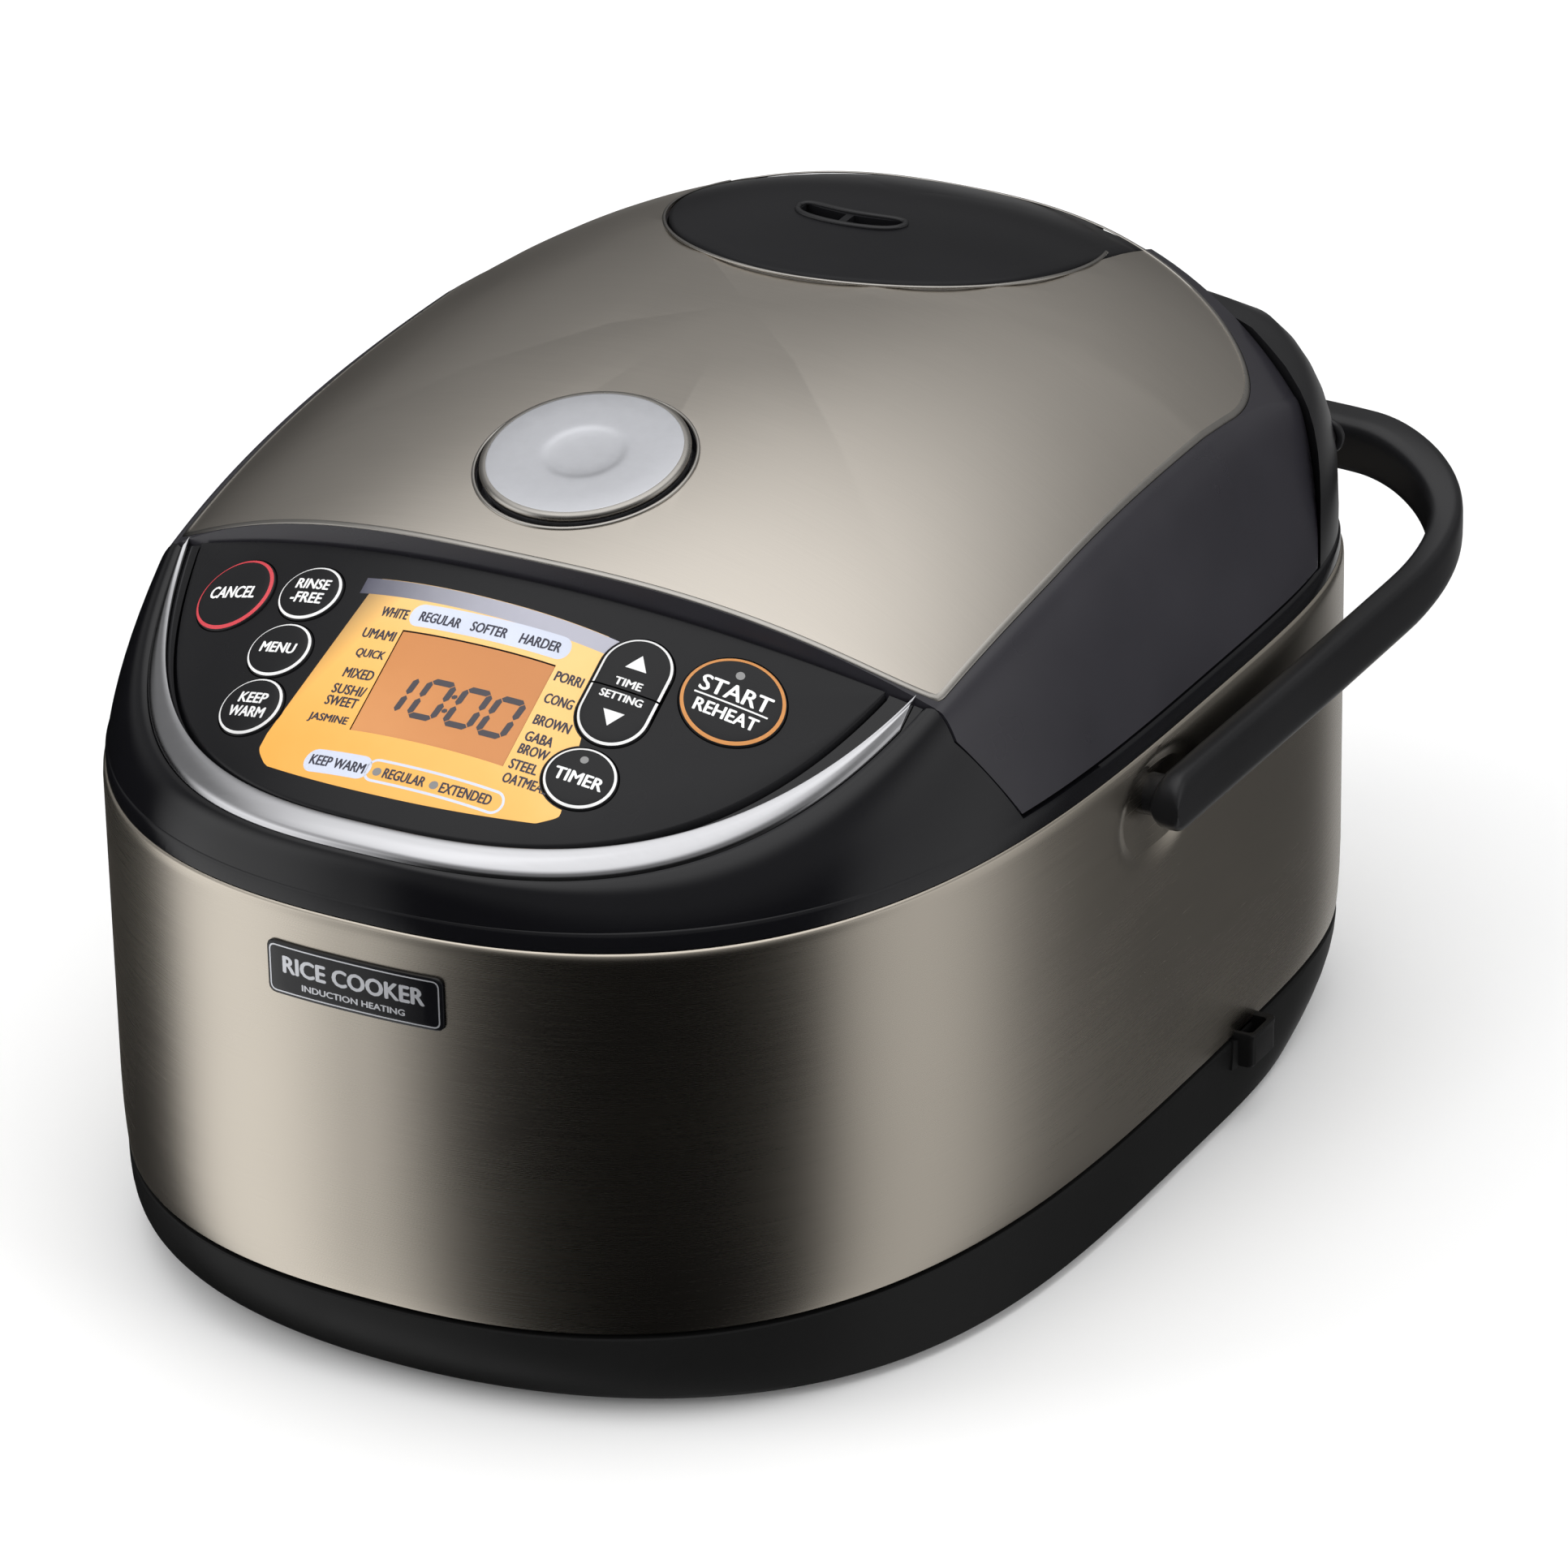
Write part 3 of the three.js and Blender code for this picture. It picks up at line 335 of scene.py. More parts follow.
def noise_at(tree, scale, size=(1, 1, 1), detail=4.0, rough=0.6):
    here = node(tree, "Mapping", {0: node(tree, "TexCoord").outputs["Object"], "Scale": size}).outputs[0]
    return node(tree, "TexNoise", {"Vector": here, "Scale": scale, "Detail": detail,
                                   "Roughness": rough}).outputs["Fac"]


def spread(tree, source, low, high, start=0.3, end=0.7, ease="LINEAR"):
    """The source between start and end, carried to between low and high."""
    return node(tree, "MapRange", {"Value": source, "From Min": start, "From Max": end, "To Min": low,
                                   "To Max": high}, interpolation_type=ease).outputs["Result"]


def combine(tree, a, b, operation="ADD"):
    return node(tree, "Math", {0: a, 1: b}, operation=operation).outputs[0]


def tint(tree, source, first, second, start=0.3, end=0.7):
    ramp = node(tree, "ValToRGB", {"Fac": source})
    for stop, at, colour in zip(ramp.color_ramp.elements, (start, end), (first, second)):
        stop.position, stop.color = at, (*colour, 1)
    return ramp.outputs["Color"]


def bump(tree, shader, source, strength, distance):
    made = node(tree, "Bump", {"Strength": strength, "Distance": distance, "Height": source})
    tree.links.new(made.outputs["Normal"], shader.inputs["Normal"])


def brushed(name, size, tone, roughness=0.3, aniso=0.5, contrast=0.05, relief=0.03):
    """Brushed steel: long fine scratches along one direction, with faint handling marks."""
    mat, tree, shader = nodes_for(name, 1.0, roughness, tone)
    shader.inputs["Anisotropic"].default_value = aniso
    lines = noise_at(tree, 100, size, 5, 0.75)
    cloud = noise_at(tree, 9, (1, 1, 1), 3, 0.5)
    dark = tuple(c * (1 - contrast) for c in tone)
    light = tuple(min(1, c * (1 + contrast)) for c in tone)
    tree.links.new(tint(tree, lines, dark, light), shader.inputs["Base Color"])
    uneven = spread(tree, cloud, roughness - 0.02, roughness + 0.02)
    tree.links.new(combine(tree, spread(tree, lines, -0.015, 0.015), uneven), shader.inputs["Roughness"])
    bump(tree, shader, lines, relief, 0.0001)
    return mat


def plastic(name, tone, roughness, grain=900, depth=0.03, wear=0.05, gleam=0.5):
    """Moulded plastic: fine moulded grain, slow tone change and uneven gloss from handling."""
    mat, tree, shader = nodes_for(name, 0.0, roughness, tone)
    shader.inputs["Specular IOR Level"].default_value = gleam
    cloud = noise_at(tree, 14, (1, 1, 1), 4, 0.55)
    fine = noise_at(tree, grain, (1, 1, 1), 2, 0.5)
    deep = tuple(c * 0.85 for c in tone)
    pale = tuple(c * 1.15 for c in tone)
    tree.links.new(tint(tree, cloud, deep, pale), shader.inputs["Base Color"])
    tree.links.new(spread(tree, cloud, roughness - wear / 2, roughness + wear), shader.inputs["Roughness"])
    bump(tree, shader, fine, depth, 0.0002)
    return mat


def ink(name, tone):
    return plastic(name, tone, 0.5, 1500, 0.01)


steel_band = brushed("steel_band", (0.4, 0.4, 36), (0.62, 0.565, 0.485), 0.27, 0.5, 0.03, 0.004)
steel_lid = brushed("steel_lid", (0.4, 36, 0.4), (0.62, 0.575, 0.515), 0.34, 0.0, 0.03)
# darker copy of the lid steel: painted shade on the plate's rolled lips; the button's rim uses it too
darkened_steel_edge = brushed("darkened_steel_edge", (1, 1, 1), (0.46, 0.44, 0.41), 0.28, 0.0)
trim_metal = brushed("trim_metal", (0.3, 6, 6), (0.60, 0.60, 0.62), 0.2, 0.0, 0.02)
silver = brushed("silver_paint", (3, 3, 3), (0.76, 0.77, 0.81), 0.4, 0.0, 0.02)
alloy = brushed("alloy", (1, 1, 1), (0.72, 0.73, 0.74), 0.32, 0.2)
dull_steel = brushed("dull_steel", (4, 1, 1), (0.6, 0.6, 0.61), 0.3, 0.0)
gloss = plastic("gloss_black", (0.004, 0.004, 0.005), 0.13, 1200, 0.006, 0.05, 0.4)
panel_black = plastic("panel_black", (0.009, 0.009, 0.010), 0.25, 1200, 0.008, 0.05, 0.22)
lid_black = plastic("lid_black", (0.023, 0.022, 0.027), 0.28, 1000, 0.012, 0.06, 0.42)
satin_black = plastic("satin_black", (0.009, 0.009, 0.010), 0.34, 1000, 0.02, 0.06, 0.4)
matte_black = plastic("matte_black", (0.007, 0.007, 0.007), 0.42, 700, 0.08, 0.1, 0.14)
steam_black = plastic("steam_black", (0.008, 0.008, 0.009), 0.3, 1000, 0.02, 0.06, 0.16)
key_black = plastic("key_black", (0.009, 0.009, 0.010), 0.32, 900, 0.02, 0.06, 0.25)
inner_grey = plastic("inner_grey", (0.06, 0.06, 0.063), 0.5, 600, 0.08, 0.1)
rubber = plastic("foot_rubber", (0.015, 0.015, 0.015), 0.75, 500, 0.15, 0.1)
silicone = plastic("silicone", (0.42, 0.42, 0.4), 0.55, 600, 0.05, 0.1)
nonstick = plastic("nonstick", (0.028, 0.028, 0.03), 0.35, 1500, 0.12, 0.08)
copper = brushed("copper_winding", (1, 1, 1), (0.72, 0.36, 0.2), 0.35, 0.0)
solder = plastic("solder_mask", (0.02, 0.1, 0.045), 0.4, 400, 0.05, 0.1)
white_print = ink("white_print", (0.78, 0.78, 0.78))
red_print = ink("red_print", (0.55, 0.045, 0.06))
gold_print = ink("gold_print", (0.56, 0.24, 0.07))
dark_print = ink("dark_print", (0.03, 0.03, 0.05))
segment = ink("lcd_segment", (0.055, 0.05, 0.06))
pale_print = ink("pale_print", (0.62, 0.66, 0.78))
grey_dot = plastic("lamp_grey", (0.22, 0.22, 0.22), 0.35, 1500, 0.01, 0.05)


def run_along(tree, direction):
    """Distance of a point along a direction, in metres."""
    here = node(tree, "TexCoord").outputs["Object"]
    return node(tree, "VectorMath", {0: here, 1: direction}, operation="DOT_PRODUCT").outputs["Value"]


def painted_glow_window(name, low, mid, high, along, start, end, painted_glow, painted_shade=None):
    """Plastic window with a painted glow: its colour drifts along one direction, faintly clouded, and is also
    emitted as light; one corner may be darkened with painted shade.
    """
    mat, tree, shader = nodes_for(name, 0.0, 0.35, mid)
    cloud = spread(tree, noise_at(tree, 45, (1, 1, 1), 3, 0.5), -0.1, 0.1)
    drift = combine(tree, spread(tree, run_along(tree, along), 0, 1, start, end), cloud)
    ramp = node(tree, "ValToRGB", {"Fac": drift})
    stops = ramp.color_ramp.elements
    stops[0].color, stops[1].color = (*low, 1), (*high, 1)
    stops.new(0.5).color = (*mid, 1)
    colour = ramp.outputs["Color"]
    # painted shade: a dark colour blended in towards one corner
    if painted_shade:
        toward, dark_at, full_at = painted_shade
        lit = spread(tree, run_along(tree, toward), 0, 1, dark_at, full_at)
        first, second = 6, 7  # the colour sockets of a Mix node; its colour output is the third
        colour = node(tree, "Mix", {0: lit, first: (0.012, 0.012, 0.022, 1), second: colour},
                      data_type="RGBA").outputs[2]
    tree.links.new(colour, shader.inputs["Base Color"])
    # painted glow: the window's colour is emitted as light as well
    tree.links.new(colour, shader.inputs["Emission Color"])
    shader.inputs["Emission Strength"].default_value = painted_glow
    return mat


# amber print with a painted glow and a corner of painted shade; LCD window and halftone print with a painted
# glow
amber = painted_glow_window("amber_print", (0.66, 0.31, 0.055), (0.69, 0.37, 0.09), (0.70, 0.44, 0.16),
                (0.35, 1, 0), -0.19, -0.13, 0.28, ((0.9, -0.45, 0), 0.016, 0.034))
lcd_glow = painted_glow_window("lcd_window", (0.42, 0.165, 0.05), (0.45, 0.18, 0.055), (0.52, 0.23, 0.08),
                   (-0.5, -1, 0), 0.13, 0.18, 0.3)
halftone = painted_glow_window("halftone_print", (0.05, 0.05, 0.075), (0.24, 0.24, 0.28), (0.36, 0.36, 0.42),
                   (1, 0, 0), -0.04, 0.01, 0.12)

# ---------- body
T = wall_params(440)


def band_ring(inset, z):
    x, y = wall_xy(T, inset)
    d = ((y - PIVOT_Y - 2) / 24) ** 2 + ((z - PIVOT_Z + 4) / 17) ** 2
    depth = np.where((np.abs(x) > 120) & (d < 1), 4.5 * np.maximum(0, 1 - d) ** 1.2, 0)
    return level_ring(x - np.sign(x) * depth, y, z)


def low_in(z):
    return 0.9 * np.maximum(0, (50 - z) / 21) ** 2


rows = [(2.6, 28.2), (1.5, 28.3), (1.0, 28.8), (float(low_in(30)), 30)]
rows += [(float(low_in(z)), z) for z in (34, 40, 50, 70, 90, 102)]
rows += [(0, z) for z in np.arange(105, 141.6, 1.6)]
rows += [(0.15, 142.3), (0.5, 142.9), (1.0, 143.25), (1.7, 143.35), (4, 143.3)]
outer = [band_ring(i, z) for i, z in rows]
inside = [band_ring(i, z) for i, z in ((4, 142), (1.4, 139), (1.4, 108), (1.4, 60), (2.4, 30), (2.6, 28.6))]
finish(loft("steel_wall", outer + inside, wrapped=True), steel_band, "housing", "body_band",
       slot="brushed_steel")

# base with a soft shadow groove under the steel
TB = wall_params(300)


def base_ring(z, more=0.0):
    k = (1 - min(1, max(0, (z - 2) / 26))) ** 2.2
    x, y = wall_xy(TB, 0.9 + 0.8 * k + more,
                   ((2.4 - 0.34 * k, 3.2 + 0.73 * k), (4.7 - 1.8 * k, 4 - k)),
                   (FRONT - 0.9 - 12 * k - more, REAR - 0.9 - 12 * k - more))
    return level_ring(x, y, z)


tray = [base_ring(2, 2.2), base_ring(2.3, 0.9)]
tray += [base_ring(z) for z in (3.2, 5, 7.5, 10.5, 14, 18, 22, 25.5, 26.6)]
tray += [base_ring(27.1, 0.3), base_ring(27.3, 1.1), base_ring(27.4, 3), base_ring(27.4, 5)]
base = loft("base_tray", tray)
slats = [block("tool", 46, 3, 12, 0, -132 + 7 * i, 1) for i in range(5)]
finish(cut(base, *slats), matte_black, "housing", "base_shell", slot="matte_black")
for i, (fx, fy) in enumerate([(-88, -118), (88, -118), (-92, 122), (92, 122)]):
    foot = turn(f"foot_pad_{i + 1}", [(0, 0.5), (6, 0.5), (6.4, 0), (7.6, 0), (8.1, 0.4),
                                      (8.9, 1.5), (9, 1.95), (0, 1.95)], 48, fx, fy)
    finish(foot, rubber, "housing", f"foot_{i + 1}", slot="rubber_foot")

# socket for the spatula holder: flared box with a lip round its mouth
SOCKET_Y = 48.5


def socket_ring(w, half, z, x0=140.3):
    r = 1.6
    pts = [(x0, SOCKET_Y - half)]
    for a0, cx, cy in ((-90, w - r, -half + r), (0, w - r, half - r)):
        pts += [(cx + r * math.cos(math.radians(a0 + q)), SOCKET_Y + cy + r * math.sin(math.radians(a0 + q)))
                for q in range(0, 91, 15)]
    return lay(pts + [(x0, SOCKET_Y + half)], z)


sock = loft("holder_socket", [
    socket_ring(146.6, 7.2, 19.3), socket_ring(147.3, 7.3, 20.2), socket_ring(147.3, 7.3, 27.6),
    socket_ring(147.5, 7.45, 28.2), socket_ring(147.6, 7.5, 29.5), socket_ring(147.3, 7.3, 29.9),
    socket_ring(146.2, 6.0, 29.9), socket_ring(145.8, 5.4, 29.4), socket_ring(145.7, 5.2, 22.2)],
    angle=40)
finish(sock, matte_black, "housing", "spatula_socket", slot="matte_black")
for side in (-1, 1):
    rib = loft(f"socket_rib_{'front' if side < 0 else 'rear'}", [
        lay([(139.5, SOCKET_Y + side * 7.1), (139.5, SOCKET_Y + side * (8.6 + e)),
             (141.6 + 0.1 * e, SOCKET_Y + side * (8.4 + e)), (142.6, SOCKET_Y + side * 7.1)], z)
        for z, e in ((18.6, 1.2), (22, 0.5), (27.5, 0))])
    finish(rib, matte_black, "housing", slot="matte_black")

# ---------- shoulder, panel and trim
def scale_to_trim(x, y):
    """Share of the way from the outline centre to (x, y) at which the trim curve lies."""
    low, high = np.zeros_like(x), np.ones_like(x) * 1.2
    for _ in range(40):
        mid = (low + high) / 2
        value = (np.abs(x * mid) / TRIM_HALF) ** FRONT_POW[0]
        value = value + (np.abs((SPLIT_Y - y) * mid) / TRIM_REACH) ** FRONT_POW[1]
        low, high = np.where(value < 1, mid, low), np.where(value < 1, high, mid)
    return low


fx, fy = wall_xy(np.linspace(-math.pi, 0, 4001), 0.9)
keep = fy < -40
fx, fy = fx[keep], fy[keep]
run = np.concatenate([[0], np.cumsum(np.hypot(np.diff(fx), np.diff(fy)))])
even_s = np.linspace(0, run[-1], 260)
fx, fy = np.interp(even_s, run, fx), np.interp(even_s, run, fy)
kt = scale_to_trim(fx, fy)
tx, ty = fx * kt, SPLIT_Y + (fy - SPLIT_Y) * kt
edge_z = panel_z(tx, ty)
house = [level_ring(fx, fy, 143.5)]
for s in list(np.linspace(1, 0.86, 8)) + list(np.linspace(0.8, 0, 14)):
    k = kt + (1 - kt) * s
    d = np.clip(s / np.maximum(k, 1e-6), 0, 1)
    z = 144.3 + (edge_z - 144.3) * (1 - d ** 1.9) ** 0.7
    house.append(np.column_stack([fx * k, SPLIT_Y + (fy - SPLIT_Y) * k, z]))
for k in (0.985, 0.96, 0.9, 0.8, 0.65, 0.5, 0.3):
    px, py = tx * k, np.minimum(SPLIT_Y + (ty - SPLIT_Y) * k, -40)
    house.append(np.column_stack([px, py, panel_z(px, py)]))
xs_front = np.linspace(-119.5, 119.5, 121)


def front_space(lead):
    return [(150, -96 - lead), (150, 160), (-150, 160), (-150, -96 - lead)] + [
        (x, float(plate_front(x)) - lead) for x in xs_front]


def slope(points, x0=-160, x1=160):
    return across_x("tool", (x0, x1), lambda x: points)


lid_space = cut(prism("tool", front_space(1.1), 90, 300), slope(
    [(200, SEAM_Z - 0.5), (200, 290), (-150, 290), (-150, float(part_z(-150)) - 0.5), (-78, SEAM_Z - 0.5)]),
    mode="INTERSECT")
shoulder = loft("shoulder", house)
cut(shoulder, lid_space)
T2 = wall_params(360)
deck = [level_ring(*wall_xy(T2, i), z) for i, z in
        ((2.2, 143.5), (0.9, 143.6), (0.9, 147.6), (1.2, 148.6), (1.9, 149.3), (2.8, 149.5))]
cut(shoulder, loft("tool", deck), mode="UNION")


def x_stations(end, count):
    return -end * np.cos(np.linspace(0, math.pi, count))


def cavity_section(x):
    out, lip, back = float(trim_y(x, 3.5)), float(trim_y(x, 13)), float(plate_front(x)) - 5
    return [(out, 140), (-82, 140), (-82, 147.4), (back, float(part_z(back + 3.5)) - 3), (back, 260),
            (lip, 260), (lip, float(panel_z(x, lip)) - 8), (out, max(147, float(panel_z(x, out)) - 15))]


def on_slope(x, points):
    """Section points from [y, height above the panel surface]."""
    return [(y, float(panel_z(x, y)) + h) for y, h in points]


def panel_body(name, grow, top, low, soft=False):
    def section(x):
        back = float(plate_front(x)) - 1.1 + grow * 0.6
        lead = min(float(trim_y(x, 7.9 - grow)), back - 0.6)
        if not soft:
            return on_slope(x, [(lead, low), (back, low), (back, top), (lead, top)])
        wide = back - lead
        r = min(0.8, wide / 3)
        pts = [(lead, low), (back, low), (back, top - r), (back - 0.3 * r, top - 0.3 * r), (back - r, top)]
        pts += [(back - r - (wide - 2 * r) * q, top) for q in (0.25, 0.5, 0.75)]
        return on_slope(x, pts + [(lead + r, top), (lead + 0.3 * r, top - 0.3 * r), (lead, top - r)])
    return across_x(name, x_stations(PANEL_END + grow, 181), section)


KEYS = {
    "cancel": (-81.2, -124.2, 13.6, 12.2), "rinse": (-55.2, -126.9, 10.5, 9.1),
    "menu": (-55.2, -143.6, 10.5, 9.1), "keep_warm": (-54.4, -160.2, 10.3, 9.6),
    "timer": (47.6, -160.8, 10.3, 9.6), "start": (74.3, -125.8, 14.6, 13.4),
}
PILL = (47.7, -136.2, 10.2, 17.4)


def pill_path(w, h, count=26):
    t = np.linspace(0, math.pi, count)
    top = np.column_stack([w * np.cos(t), h - w + w * np.sin(t)])
    return np.vstack([top, -top])


def key_tool(x, y, shape):
    return place(prism("tool", shape, -9, 6), frame_at(panel_z, x, y))


def key_tools():
    tools = [key_tool(x, y, oval(a + 0.35, b + 0.35)) for x, y, a, b in KEYS.values()]
    return tools + [key_tool(PILL[0], PILL[1], pill_path(PILL[2] + 0.35, PILL[3] + 0.35))]


def lcd_body(name, grow, top, low):
    a, b, half = LCD_LOW - grow, LCD_HIGH + grow, LCD_HALF + grow
    return across_x(name, np.linspace(LCD_X - half, LCD_X + half, 33),
                    lambda x: on_slope(x, [(a, low), (b, low), (b, top), (a, top)]))


def trim_rings(grow, low, high, soft=False):
    rings = []
    for u in np.cos(np.linspace(0, math.pi, 161)):
        x = -u * (TRIM_END + grow)
        w = 7.2 - 4.6 * abs(u) ** 4
        a, b = 0.35 - grow, 0.1 + w + grow
        pts = [(b, high - 0.5), (b - 0.5, high), (a + 1, high - 0.1), (a, high - 0.7), (a, low), (b, low)]
        if soft:
            pts = [(b, high - 0.9), (b - 0.2, high - 0.35), (b - 0.7, high - 0.02)]
            pts += [(b - 0.7 - (b - a - 1.7) * q, high + 0.35 * math.sin(math.pi * q))
                    for q in (0.25, 0.5, 0.75)]
            pts += [(a + 1, high - 0.05), (a + 0.35, high - 0.35), (a, high - 1), (a, low), (b, low)]
        rings.append([(x, *p) for p in on_slope(x, [(float(trim_y(x, s)), h) for s, h in pts])])
    return rings


pot_hole = turn("tool", [(0, 120), (POT_R + 1.6, 120), (POT_R + 1.6, 260), (0, 260)], 128, 0, POT_Y)
cut(shoulder, pot_hole, across_x("tool", x_stations(98, 81), cavity_section))
cut(shoulder, panel_body("tool", 0.9, 9, -2.2), block("tool", 18.6, 14.5, 8, 0, -93.6, 168),
    loft("tool", trim_rings(0.25, -0.9, 8)))
cut(shoulder, key_tool(*KEYS["cancel"][:2], oval(14, 12.6)), key_tool(*KEYS["start"][:2], oval(15, 13.8)))
finish(shoulder, gloss, "housing", "shoulder_frame", slot="gloss_black")
finish(loft("bright_arc", trim_rings(0, -0.6, 1.7, soft=True), angle=45), trim_metal, "housing",
       "chrome_trim", slot="bright_trim")
panel = panel_body("panel_face", 0, 1.1, -1.9, soft=True)
cut(panel, *key_tools(), lcd_body("tool", 0.3, 6, -6))
finish(panel, panel_black, "housing", "control_panel", slot="gloss_black")
finish(lcd_body("lcd_glass", 0.1, 0.85, -4), lcd_glow, "housing", "lcd_display", slot="amber_lcd")


# ---------- keys and printing
def crown(rho):
    """Height of a key's face above the panel: 0 is the middle of the key, 1 its edge."""
    return 2.4 - 0.5 * rho ** 2 - 0.8 * np.clip(rho, 0, 1) ** 14


def dome(a, b):
    return lambda u, v: crown(np.sqrt((u / a) ** 2 + (v / b) ** 2))


def pill_dome(w, h):
    return lambda u, v: crown(np.hypot(u, np.maximum(0, np.abs(v) - (h - w))) / w)


def moved(matrix, u, v, w):
    """Points in millimetres carried by a placement matrix in metres."""
    p = np.column_stack([u, v, w, np.full(len(u), 1000.0)]) * 0.001
    return (p @ np.array(matrix).T)[:, :3] * 1000


def on_key(x, y, height):
    m = frame_at(panel_z, x, y)
    return lambda u, v, lift: moved(m, u, v, height(u, v) + lift)


def on_height(height, x, y, lean=0.0):
    """Placement on a fixed surface: u across, v up the slope from (x, y); lean slants upright strokes."""
    m = frame_at(height, x, y)

    def put(u, v, lift):
        q = moved(m, u + lean * v, v, np.zeros(len(u)))
        q[:, 2] = height(q[:, 0], q[:, 1]) + lift
        return q
    return put


def on_panel(x, y, lift=0.0):
    base_put = on_height(panel_z, x, y)
    return lambda u, v, up: base_put(u, v, up + lift)


def under_key(x, y, gap=0.9):
    """True where a point of the panel, seen from above, is within a key or its clearance."""
    hit = np.zeros(len(x), bool)
    for kx, ky, a, b in KEYS.values():
        hit |= ((x - kx) / (a + gap)) ** 2 + ((y - ky) / ((b + gap) * LEAN)) ** 2 < 1
    kx, ky, w, h = PILL
    return hit | (np.hypot(x - kx, np.maximum(0, np.abs(y - ky) / LEAN - (h - w))) < w + gap)


def words(name, text, width, cap, at, put, material, body, slot=None, bold=0.1, clear=False):
    """Printed word, width by cap mm, laid on a surface; overlapping copies make the strokes bold."""
    curve = bpy.data.curves.new(name, "FONT")
    curve.body, curve.align_x, curve.align_y, curve.resolution_u = text, "CENTER", "CENTER", 3
    tmp = link(name, curve)
    graph = bpy.context.evaluated_depsgraph_get()
    me = bpy.data.meshes.new_from_object(tmp.evaluated_get(graph))
    bpy.data.objects.remove(tmp)
    bm = bmesh.new()
    bm.from_mesh(me)
    bmesh.ops.remove_doubles(bm, verts=bm.verts, dist=1e-5)
    bmesh.ops.triangulate(bm, faces=bm.faces)
    bm.verts.ensure_lookup_table()
    co = np.array([v.co[:2] for v in bm.verts])
    tris = [[v.index for v in f.verts] for f in bm.faces]
    bm.free()
    low, high = co.min(0), co.max(0)
    co = (co - (low + high) / 2) * ((width - 2 * bold) / (high[0] - low[0]), cap / (high[1] - low[1])) + at
    if clear:
        flat = put(co[:, 0], co[:, 1], 0)
        hidden = under_key(flat[:, 0], flat[:, 1])
        tris = [t for t in tris if not hidden[t].any()]
    verts, faces = [], []
    for k, (du, dv) in enumerate(((-bold, 0), (bold, 0), (0, bold * 0.6), (0, -bold * 0.6))):
        faces += [[i + len(co) * k for i in t] for t in tris]
        verts.append(put(co[:, 0] + du, co[:, 1] + dv, 0.06 + 0.004 * k))
    me = bpy.data.meshes.new(name)
    me.from_pydata((np.concatenate(verts) * 0.001).tolist(), [], faces)
    return finish(link(name, me), material, body, slot=slot)


def patch(name, outline, put, material, body, slot=None, hole=None, lift=0.04, steps=10):
    """Thin printed area inside an outline, or between an outline and a hole of equal length."""
    o = np.asarray(outline, float)
    c = o.mean(0)
    rings = [hole + (o - hole) * k for k in np.linspace(0, 1, 3)] if hole is not None else \
        [c + (o - c) * k for k in np.linspace(0, 1, steps + 1)[1:]]
    verts = [put(r[:, 0], r[:, 1], lift) for r in rings]
    n, faces = len(o), []
    for i in range(len(rings) - 1):
        faces += [(i * n + j, i * n + (j + 1) % n, (i + 1) * n + (j + 1) % n, (i + 1) * n + j)
                  for j in range(n)]
    verts = list(np.concatenate(verts))
    if hole is None:
        verts.append(put(c[:1], c[1:], lift)[0])
        faces += [(len(verts) - 1, j, (j + 1) % n) for j in range(n)]
    ob = mesh_piece(name, verts, faces)
    ob.data.shade_smooth()
    return finish(ob, material, body, slot=slot)


def polygon(points, per=8):
    p = np.asarray(points, float)
    out = []
    for a, b in zip(p, np.roll(p, -1, 0)):
        out += [a + (b - a) * k / per for k in range(per)]
    return np.array(out)


def capsule(w, h, cx=0.0, cy=0.0, count=20):
    """Lying pill, w long and h high."""
    t = np.linspace(-math.pi / 2, math.pi / 2, count)
    right = np.column_stack([w / 2 - h / 2 + h / 2 * np.cos(t), h / 2 * np.sin(t)])
    return even(np.vstack([right, -right]), 120) + (cx, cy)


def key_body(key, x, y, outline, height, flip=1):
    """Key cap over its CAD button: straight skirt, then the domed face in shrinking outlines."""
    rings = [lay(outline(1), z) for z in (-5, -1, 0.6)]
    for s in (1.0, 0.99, 0.975, 0.95, 0.91, 0.85, 0.75, 0.6, 0.4, 0.2):
        o = outline(s)
        rings.append(lay(o, height(o[:, 0], o[:, 1])))
    cap = loft(f"{key}_key", [r * (1, flip, 1) for r in rings], angle=50)
    finish(place(cap, frame_at(panel_z, x, y)), key_black, f"{key}_button", f"{key}_button", slot="key_black")


RING = {"cancel": red_print, "start": gold_print}
for key, (x, y, a, b) in KEYS.items():
    height = dome(a, b)
    put = on_key(x, y, height)
    key_body(key, x, y, lambda s: oval(a * s, b * s, 96), height)
    wide = 0.95 if key in RING else 0.7
    patch(f"{key}_key_ring", oval(a - 0.35, b - 0.35, 96), put, RING.get(key, white_print),
          f"{key}_button", "key_black", hole=oval(a - 0.35 - wide, b - 0.35 - wide, 96))

height = pill_dome(PILL[2], PILL[3])
put = on_key(PILL[0], PILL[1], height)


def pill_half(s):
    arc = pill_path(PILL[2] * s, PILL[3] - PILL[2] * (1 - s), 40)[:40]
    return np.vstack([arc, [(-PILL[2] * s + PILL[2] * s * k / 10, 0.25) for k in range(0, 20)]])


def half_rim(inset, sign):
    arc = pill_path(PILL[2] - inset, PILL[3] - inset, 40)[:40] * (1, sign)
    return np.vstack([[(PILL[2] - inset, 0.3 * sign)], arc, [(inset - PILL[2], 0.3 * sign)]])


